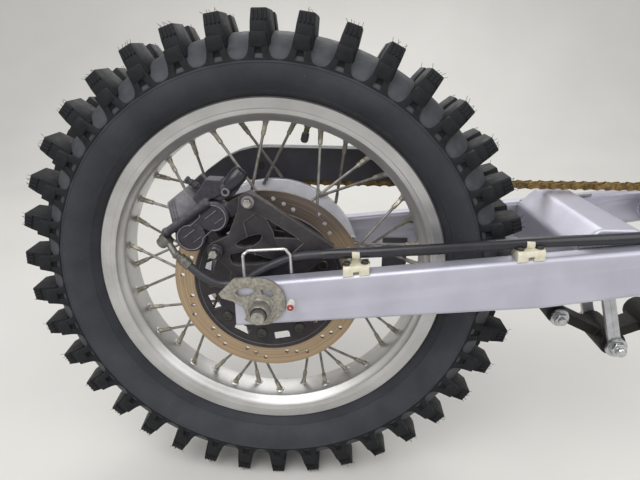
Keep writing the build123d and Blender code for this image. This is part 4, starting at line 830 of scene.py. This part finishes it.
def swingarm():
    for side in ("right", "left"):
        done(from_solid(side + "_arm", 1.2), side + "_beam", "satin_aluminium", [side + "_arm"])
    done(cast([from_solid("cross_member", 0.5)], 2, 24), "cross_casting", "satin_aluminium", ["cross_member"])
    # where the cross member's top meets the arms' inner faces
    seams = [seam(*[(x, side * 101.6, 33 + ARM_SLOPE * x) for x in (378, 486)]) for side in (-1, 1)]
    done(smooth(joined(seams)), "cross_seams", look="rod_steel")
    pivot = at(585, 68)
    tube = from_solid("pivot_tube", 0.6)
    beads = [weld(pivot, 24, side * 102, -side) for side in (-1, 1)]
    smooth(joined([tube] + beads))
    done(tube, "pivot_tube_welded", "satin_aluminium", ["pivot_tube"])
    done(from_solid("pivot_sleeve", 0.8), "pivot_bolt_sleeve", "plated_steel", ["pivot_sleeve"])
    done(from_solid("pivot_bushes", 1.2), "pivot_bush_caps", "black_rubber", ["pivot_bushes"])


def linkage():
    relay = cast([tidy_mesh(node_copy("relay_arm"), 0.002)], 1.1, 4)
    done(relay, "relay_casting", None, ["relay_arm"], look="painted_forging")
    rods = from_solid("link_rods", 0.9)
    # a shallow groove along each rod's outer face
    top, foot = Vector((454, 0, 4)), Vector((486, 0, -97))
    lean = math.atan2(foot.z - top.z, foot.x - top.x)
    across = Vector((-math.sin(lean), 0, math.cos(lean))) * 0.7
    first, last = top.lerp(foot, 0.16), top.lerp(foot, 0.84)
    outline = [(p.x, p.z) for p in (first - across, last - across, last + across, first + across)]
    shaped(rods, joined([plate(outline, low, low + 2.3) for low in (-44, 41.7)]))
    done(smooth(rods), "grooved_link_rods", "rod_steel", ["link_rods"])
    bolts = []
    for x, z, seat in ((454, 4, 42.6), (486, -97, 42.6), (407, -59, 29)):
        place = at(x, z)
        size = 1.15 if z < -90 else 1
        bolts.append(rod(5.8 * size, -seat - 15 * size, seat, place, 24, 1.4))
        for side in (-1, 1):
            low, high = sorted((side * seat, side * (seat + 2.6)))
            outer = (12.4 * size, 13.4 * size) if side < 0 else (13.4, 12.4)
            bolts.append(lathe([(5.2, low), (outer[0], low), (outer[1], high), (5.2, high)], 36, place))
            low, high = sorted((side * (seat + 2.2), side * (seat + 10)))
            bolts.append(hexagon(17 * size, low, high, place, side < 0, side > 0))
    done(smooth(joined(bolts)), "link_bolts_and_nuts", None, ["link_bolts"], look="chrome")


# Axle ends and chain adjusters

def axle_ends():
    shaft = from_solid("axle", 0.5)
    thread = [(7.8, -156.4), (8, -156)]
    for turn in range(6):
        thread += [(8.5, -155.4 + turn * 1.4), (7.9, -154.7 + turn * 1.4)]
    thread += [(6, -147), (6, -156.4)]
    shaped(shaft, lathe([(0, -158), (3.4, -158), (0.4, -154), (0, -154)], 20))
    smooth(joined([shaft, lathe(thread, 32)]))
    done(shaft, "threaded_axle", "plated_steel", ["axle"])
    hexed = hexagon(25, -147, -135, ON_AXLE, False)
    cone = lathe([(0, -147), (10.2, -147), (10.8, -146.4), (14.8, -135.5), (14.8, -134), (0, -134)], 48)
    shaped(hexed, cone, "INTERSECT")
    collar = lathe([(8.2, -133), (15, -133), (15, -134.6), (14.2, -135.6), (8.2, -135.6)], 48)
    nut = smooth(joined([hexed, collar]))
    done(nut, "coned_axle_nut", "plated_steel", ["axle_nut"])
    lock = lathe([(8.1, -147.6), (9.9, -147.6), (10.3, -147.2), (10.3, -146.6), (8.1, -146.6)], 40)
    done(smooth(lock), "nut_lock_ring", look="black_rubber")
    done(from_solid("axle_washers", 0.5), "axle_washer_pair", "plated_steel", ["axle_washers"])
    done(from_solid("axle_spacers", 0.6), "spacer_tubes", "plated_steel", ["axle_spacers"])


def adjusters():
    for side, sign in (("right", -1), ("left", 1)):
        cam = from_solid("adjuster_cam_" + side, 1.1, 3)
        collar = lathe([(8.2, -130.3), (19.5, -130.3), (19, -131.6), (17.5, -132), (8.2, -132)], 48)
        if sign > 0:
            other = mirrored(collar)
            bpy.data.objects.remove(collar)
            collar = other
        smooth(joined([cam, collar]))
        done(cam, "snail_cam_" + side, "dusty_steel", ["adjuster_cam_" + side])
    pin = lathe([(0, -139), (3.2, -139), (3.9, -138.4), (4.6, -136), (5, -126), (0, -126)], 32, at(37, 6))
    pins = smooth(joined([pin, mirrored(pin)]))
    done(pins, "adjuster_stop_pins", None, ["stopper_pins"], look="pin_white")
    dot = lathe([(1.4, -139), (1.6, -139.8), (3.2, -139.8), (4, -139), (4.2, -137.8), (1.4, -137.8)], 24, at(37, 6))
    done(smooth(joined([dot, mirrored(dot)])), "stop_pin_dots", look="pin_red")
    done(smooth(from_solid("wire_guard", 0.1, 1, 80), 70), "bent_wire_guard", "bright_wire", ["wire_guard"])


# Brake

def disc_gap():
    """The room that the disc turns in."""
    return lathe([(0, -63.9), (133.4, -63.9), (133.4, -45.6), (0, -45.6)], 128)


def caliper():
    cylinder = [(0, -88), (18.4, -88), (19.5, -86.6), (19.5, -64), (0, -64)]
    solids = [lathe(cylinder, 40, at(side * 20, 0, CALIPER)) for side in (-1, 1)]
    # the middle over both cylinders, the upper boss and its arm, the half behind the disc, two ears for the pins
    for outline, front, back in (([(-30, -4), (30, -4), (30, 22), (-30, 22)], -87.6, -64),
                                 ([(16, 14), (27, 20), (52, 13), (60, 27), (46, 40), (31, 36), (18, 33)], -86.5, -64),
                                 ([(30, 24), (56, 24), (78, 24), (80, 8), (60, 3), (42, 8)], -85, -64),
                                 ([(-32, -2), (32, -2), (32, 49), (-32, 49)], -45.5, -35.5),
                                 (beam((0, 0), (67.3, -13.6), 9), -79, -64),
                                 (beam((0, 0), (-7.9, -33), 9), -79, -64)):
        solids.append(plate(outline, front, back, CALIPER))
    # oil way along the outside, with a collar at the hose's end
    oil_way = along((-41, -88, 24), (29.6, -88, 17), CALIPER)
    solids.append(rod(5.6, 0, 72, oil_way, 28, 2))
    solids.append(rod(6.6, 0, 6, oil_way, 28, 1))
    solids.append(rod(6.6, -90.4, -80, at(57, 14.4, CALIPER), 28, 1))
    body = cast(solids, 0.9, 4)
    shaped(body, disc_gap())
    done(body, "caliper_casting", "black_casting", ["caliper_body"])

    bridge = rounded(plate([(-30, 22), (-12, 50), (17, 48), (17, 20)], -83.5, -35.5, CALIPER), 1.6)
    shaped(bridge, disc_gap())
    # the bridge in the lighter copy of the casting: a painted highlight
    done(smooth(bridge), "caliper_bridge", look="casting_painted_highlight")

    # the two pistons' cap: a figure of eight with a raised rim, and a line across each half
    def eight(radius, neck):
        right = arc(radius, -180 + neck, 180 - neck, 29, 20)
        return right + arc(radius, neck, 360 - neck, 29, -20)

    lines = [plate(eight(16.8, 42), -89.5, -87, CALIPER)]
    shaped(lines[0], plate(eight(15.5, 42), -92, -86, CALIPER))
    for t in (-17.5, 20.5):
        for outline, front in (([(t - 9, 4.6), (t + 9, 3.4), (t + 9, 4.5), (t - 9, 5.7)], -89.3),
                               ([(t - 4, -7.6), (t + 9, -8.6), (t + 9, -7.7), (t - 4, -6.7)], -89)):
            lines.append(rounded(plate(outline, front, -88, CALIPER), 0.2, 1))
    # ribs on the plate over the disc
    for k in range(3):
        t = -25.5 + k * 4.2
        rib = plate([(t, 27), (t + 1.3, 27), (t + 15.5, 47.5), (t + 14.2, 47.5)], -84.6, -83, CALIPER)
        lines.append(rounded(rib, 0.3, 1))
    ring = lathe([(3, -93), (4.4, -93.4), (5.2, -92.8), (5.2, -89.8), (3, -89.8)], 28, at(56, 13, CALIPER))
    details = smooth(joined(lines + [ring]))
    # the rims, lines, ribs and ring in the lighter copy of the casting: a painted highlight
    done(details, "caliper_rims_and_ribs", look="casting_painted_highlight")

    # rubber boots of the slide pins: a long smooth one above, a folded one below
    upper = lathe([(0, -1), (6.4, -1), (7.6, 0.6), (8.6, 4), (9.8, 8), (10.4, 14), (10.4, 20), (9.4, 24),
                   (6.6, 26.8), (0, 28)], 40, along((61, -86, 15), (82, -80, 17.5), CALIPER))
    folds = [(0, -98.6), (6, -98.6), (7.2, -97.6)]
    for k in range(7):
        y = -97 + k * 4.4
        folds += [(9.4, y), (9.9, y + 1.1), (9.4, y + 2.2), (7.6, y + 3.3)]
    lower = lathe(folds + [(7.6, -64), (0, -64)], 36, at(-60, 58.5))
    done(smooth(joined([upper, lower]), 30), "slide_pin_boots", look="gloss_rubber")
    cap = [(0, 0), (3.4, 0), (3.6, 2), (4.6, 3), (4.6, 6), (3.8, 7), (3.8, 9), (4.6, 10), (4.6, 12),
           (3.6, 13), (3.6, 15.5), (4.3, 16.2), (4.3, 18.4), (3.4, 19.4), (0, 19.6)]
    nipple = smooth(lathe(cap, 28, along((28, -72, 37.6), (24, -72, 56), CALIPER)), 34)
    done(nipple, "bleed_nipple_cap", "black_rubber", ["bleed_nipple"])


def caliper_mounting():
    # the plate and a thinner web in its opening, both with holes that lighten them
    bracket = tidy_mesh(node_copy("caliper_bracket"), 0.002)
    web = plate([(-19, 60), (-25, 97), (-8, 110), (52, 71), (25, 42), (0, 38)], -87.5, -82.5)
    leaf = [(-35.8, 67), (-31, 64), (-24.5, 62.6), (-15, 64), (-7, 69), (-3, 75), (-1.5, 80.5),
            (-8, 80.2), (-17.9, 77.6), (-28, 73)]
    slot = [(-42.4, 54), (-43.4, 48), (-40.5, 41), (-34, 38.6), (-10, 40.5), (13.7, 43.8), (14, 46.5),
            (0, 50), (-13.4, 54), (-28, 57)]
    high = [(4, 102), (12.5, 83), (13.5, 75.5), (44, 75.5)]
    for outline in (leaf, slot, high):
        for piece in (bracket, web):
            shaped(piece, plate(outline, -94, -76))
    rounded(web, 0.6)
    rounded(bracket, 0.9)
    smooth(joined([bracket, web]))
    done(bracket, "bracket_plate", "black_steel", ["caliper_bracket"])
    heads = []
    for x, z, front in ((-17, 122, -98), (-61, 58, -104.4)):
        heads.append(rod(4, front + 2, -64, at(x, z), 24))
        heads.append(hexagon(9.5, front, front + 6, at(x, z)))
    done(smooth(joined(heads)), "slide_pin_bolts", "plated_steel", ["slide_pins"])
    flange = [(4.2, -92.4), (5.8, -92.6), (7.9, -91.4), (8.2, -90.4), (8.2, -89.6), (4.2, -89.6)]
    # the collar in the lighter copy of the casting: a painted highlight
    done(smooth(lathe(flange, 36, at(-17, 122))), "slide_pin_collar", look="casting_painted_highlight")
    done(from_solid("brake_pads", 0.7), "brake_pad_pair", "pad_friction", ["brake_pads"])


def fitting(hose_end, hose_before, eye):
    """The stepped ferrule on the hose's end and the pipe from it into the banjo eye."""
    first, before, eye = Vector(hose_end), Vector(hose_before), Vector(eye)
    out = (first - before).normalized()
    crimp = [(0, -1.5), (6.5, -1.5), (6.9, -0.8), (6.9, 3.4), (6.2, 4.2), (6.2, 5.4), (6.9, 6.2), (6.9, 9.6),
             (6.2, 10.4), (6, 11.2), (6.6, 12), (6.6, 14.4), (5, 15.6), (4.8, 18), (5.8, 18.6), (5.8, 21.4),
             (5, 22.2), (0, 22.2)]
    end = first + out * 22.2
    toward = (eye - end).normalized()
    return [lathe(crimp, 32, along(first, end)), bar_between(end - toward * 1.5, eye - toward * 7.5, 4.4, 24)]


def brake_line():
    done(smooth(from_solid("brake_hose", 0.4), 50), "brake_hose_tube", "black_rubber", ["brake_hose"])
    done(smooth(from_solid("hose_sleeve", 0.4), 50), "hose_outer_sleeve", None, ["hose_sleeve"], look="gloss_rubber")
    rear_place = along((-49.9, -86, 18), (-41.9, -86, 18), CALIPER)
    # the rear eye's middle, 45.9 mm back and 18 mm out in the caliper's axes, as seen from the axle
    across, along_bore = math.sin(CALIPER_LEAN), math.cos(CALIPER_LEAN)
    eye = CALIPER_MIDDLE + Vector((-45.9 * along_bore - 18 * across, -86, -45.9 * across + 18 * along_bore))
    pieces = fitting((-94, -97.5, 41.5), (-78, -99, 27), eye)
    ring = [(5.05, 0), (8.2, 0), (9, 0.8), (9, 7.2), (8.2, 8), (5.05, 8)]
    pieces.append(lathe(ring, 36, rear_place))
    pieces += fitting((540, -106, 104), (488, -110, 97), (577, -103, 109))
    pieces.append(lathe([(r, y - 107) for r, y in ring], 36, at(577, 109)))
    done(smooth(joined(pieces)), "hose_end_fittings", None, ["hose_fittings"], look="crimped_steel")
    bolt_place = along((-50.2, -86, 18), (-41.9, -86, 18), CALIPER)
    bolt = [lathe([(0, -7), (5.6, -7), (6.6, -6.4), (7.4, -5), (7.6, 0), (0, 0)], 32, bolt_place),
            rod(5, -1, 8.2, bolt_place, 24)]
    done(smooth(joined(bolt)), "banjo_bolt_head", None, ["banjo_bolt"], look="crimped_steel")


def block(x, half, low, high, front, back):
    """A square block about x: from z low to high, and from y front to back."""
    return plate([(x - half, low), (x + half, low), (x + half, high), (x - half, high)], front, back)


def clamps():
    metal, screws = [], []
    for x, run_first, run_last in ((114.5, (92, -106.8, 64.2), (135, -109.3, 67.4)),
                                   (315, (310, -111.5, 83), (370, -112, 87))):
        run_first, run_last = Vector(run_first), Vector(run_last)
        middle = run_first.lerp(run_last, (x - run_first.x) / (run_last.x - run_first.x))
        top = 32.3 + ARM_SLOPE * x
        # saddle over the arm's rounded top edge; drawn in y and z, then pulled along x
        section = [(-103, 0), (-119.6, 0), (-122.5, -0.9), (-125, -2.6), (-126.6, -2), (-126.4, 5),
                   (-124.2, 10), (-119.5, 11.4), (-103, 10.4)]
        turn = Matrix.Translation(AXLE + Vector((x, 0, top)) * MM) @ Matrix.Rotation(math.radians(-90), 4, "Z")
        saddle = plate([(-y, z) for y, z in section], -15.5, 15.5, turn)
        shaped(saddle, block(x, 3.4, top - 12, top + 3.4, -130, -121))
        for vertex in saddle.data.vertices:
            vertex.co.z += ARM_SLOPE * (vertex.co.x - AXLE.x - x * MM)
        metal.append(rounded(saddle, 0.6))
        band = [(6.8, -4.6), (8.6, -4.6), (8.6, 4.6), (6.8, 4.6)]
        ring = lathe(band, 36, along(middle, middle + (run_last - run_first).normalized()))
        # the band holds the sleeve from below and in front, and ends short of its top
        shaped(ring, block(x, 9, middle.z + 3.6, middle.z + 12, middle.y - 12, middle.y + 12))
        metal.append(rounded(ring, 0.4, 1))
        metal.append(rounded(block(x, 4.6, top + 3, middle.z - 6, middle.y - 3, middle.y + 3), 0.6))
        for side in (-1, 1):
            spot = Vector((x + side * 10.9, -117, top + side * 10.9 * ARM_SLOPE + 10.6))
            head = [(0, 3.4), (2, 3.4), (2.2, 2.4), (3.6, 3.2), (4.3, 2.6), (4.5, 1), (5.6, 0.8), (5.8, 0), (0, 0)]
            screws.append(lathe(head, 24, along(spot, spot + Vector((0, 0, 1)))))
    done(smooth(joined(metal)), "plated_hose_clamps", "cream_plated_steel", ["hose_clamps"])
    done(smooth(joined(screws)), "clamp_screws", look="dark_screw")


for make in (tyre, rim, spokes, valve, disc, hub, sprocket, chain, chain_covers, swingarm, linkage, axle_ends,
             adjusters, caliper, caliper_mounting, brake_line, clamps):
    make()


# Stage, light and camera

def stage():
    """A pale floor that curves up into a wall, far behind the wheel, so that no line shows between them."""
    floor_z = AXLE.z / MM - 341.2
    # the floor runs 7 m to the front and 1.8 m to the back, where it curves up with a radius of 1.5 m
    sweep = [(-7000, floor_z), (1800, floor_z)]
    sweep += [(1800 + x, floor_z + 1500 + z) for x, z in arc(1500, -90, 0, 16)]
    sweep += [(3300, 6000), (3400, 6000), (3400, floor_z - 100), (-7000, floor_z - 100)]
    turn = Matrix.Rotation(math.radians(90), 4, "Z")
    backdrop = smooth(plate(sweep, -7000, 7000, turn))
    backdrop.name = "backdrop"
    pale, tree, shader, place = new_material("pale_paper")
    slow = add(tree, "ShaderNodeTexNoise", {"Vector": place, "Scale": 1 / (400 * MM), "Detail": 4}).outputs["Fac"]
    tree.links.new(two_tone(tree, slow, "#DAD8D3", "#D5D3CE", 0.3, 0.7), shader.inputs["Base Color"])
    shader.inputs["Roughness"].default_value = 0.9
    backdrop.data.materials.append(pale)
    for name, spot, size, power in (("key", (-1.6, -1.9, 2.3), 2.4, 62), ("fill", (1.2, -1.6, 1.6), 2, 22),
                                    ("back", (-0.4, 2.2, 2), 2.4, 34)):
        lamp = bpy.data.lights.new(name, "AREA")
        lamp.size = size
        lamp.energy = power
        obj = bpy.data.objects.new(name, lamp)
        obj.location = spot
        obj.rotation_euler = (Vector(spot) - Vector((-0.4, 0, 0))).to_track_quat("Z", "Y").to_euler()
        bpy.context.scene.collection.objects.link(obj)
    world = bpy.data.worlds.new("studio")
    bpy.context.scene.world = world
    world.use_nodes = True
    tree = world.node_tree
    tree.nodes.clear()
    ray = add(tree, "ShaderNodeLightPath")
    seen = add(tree, "ShaderNodeMath", {0: ray.outputs["Is Camera Ray"], 1: ray.outputs["Is Glossy Ray"]},
               operation="MAXIMUM").outputs[0]
    seen = add(tree, "ShaderNodeMath", {0: seen, 1: ray.outputs["Is Transmission Ray"]},
               operation="MAXIMUM").outputs[0]
    light = add(tree, "ShaderNodeBackground", {"Color": (0.95, 0.97, 1, 1), "Strength": 0.55})
    shown = add(tree, "ShaderNodeBackground", {"Color": linear("#DCDAD6"), "Strength": 0.9})
    blend = add(tree, "ShaderNodeMixShader", {0: seen, 1: light.outputs[0], 2: shown.outputs[0]}).outputs[0]
    add(tree, "ShaderNodeOutputWorld", {"Surface": blend})


def camera():
    """The photo's view, fitted to the rim: its focal length is 490 px on a picture 640 px wide."""
    lens = bpy.data.cameras.new("camera")
    lens.sensor_width = 36
    lens.lens = 27.56
    obj = bpy.data.objects.new("camera", lens)
    obj.location = (-0.4906, -0.6562, 0.2147)
    obj.rotation_euler = (math.radians(69.86), 0, math.radians(2.43))
    bpy.context.scene.collection.objects.link(obj)
    bpy.context.scene.camera = obj


stage()
camera()
bpy.context.scene.view_settings.view_transform = "Standard"
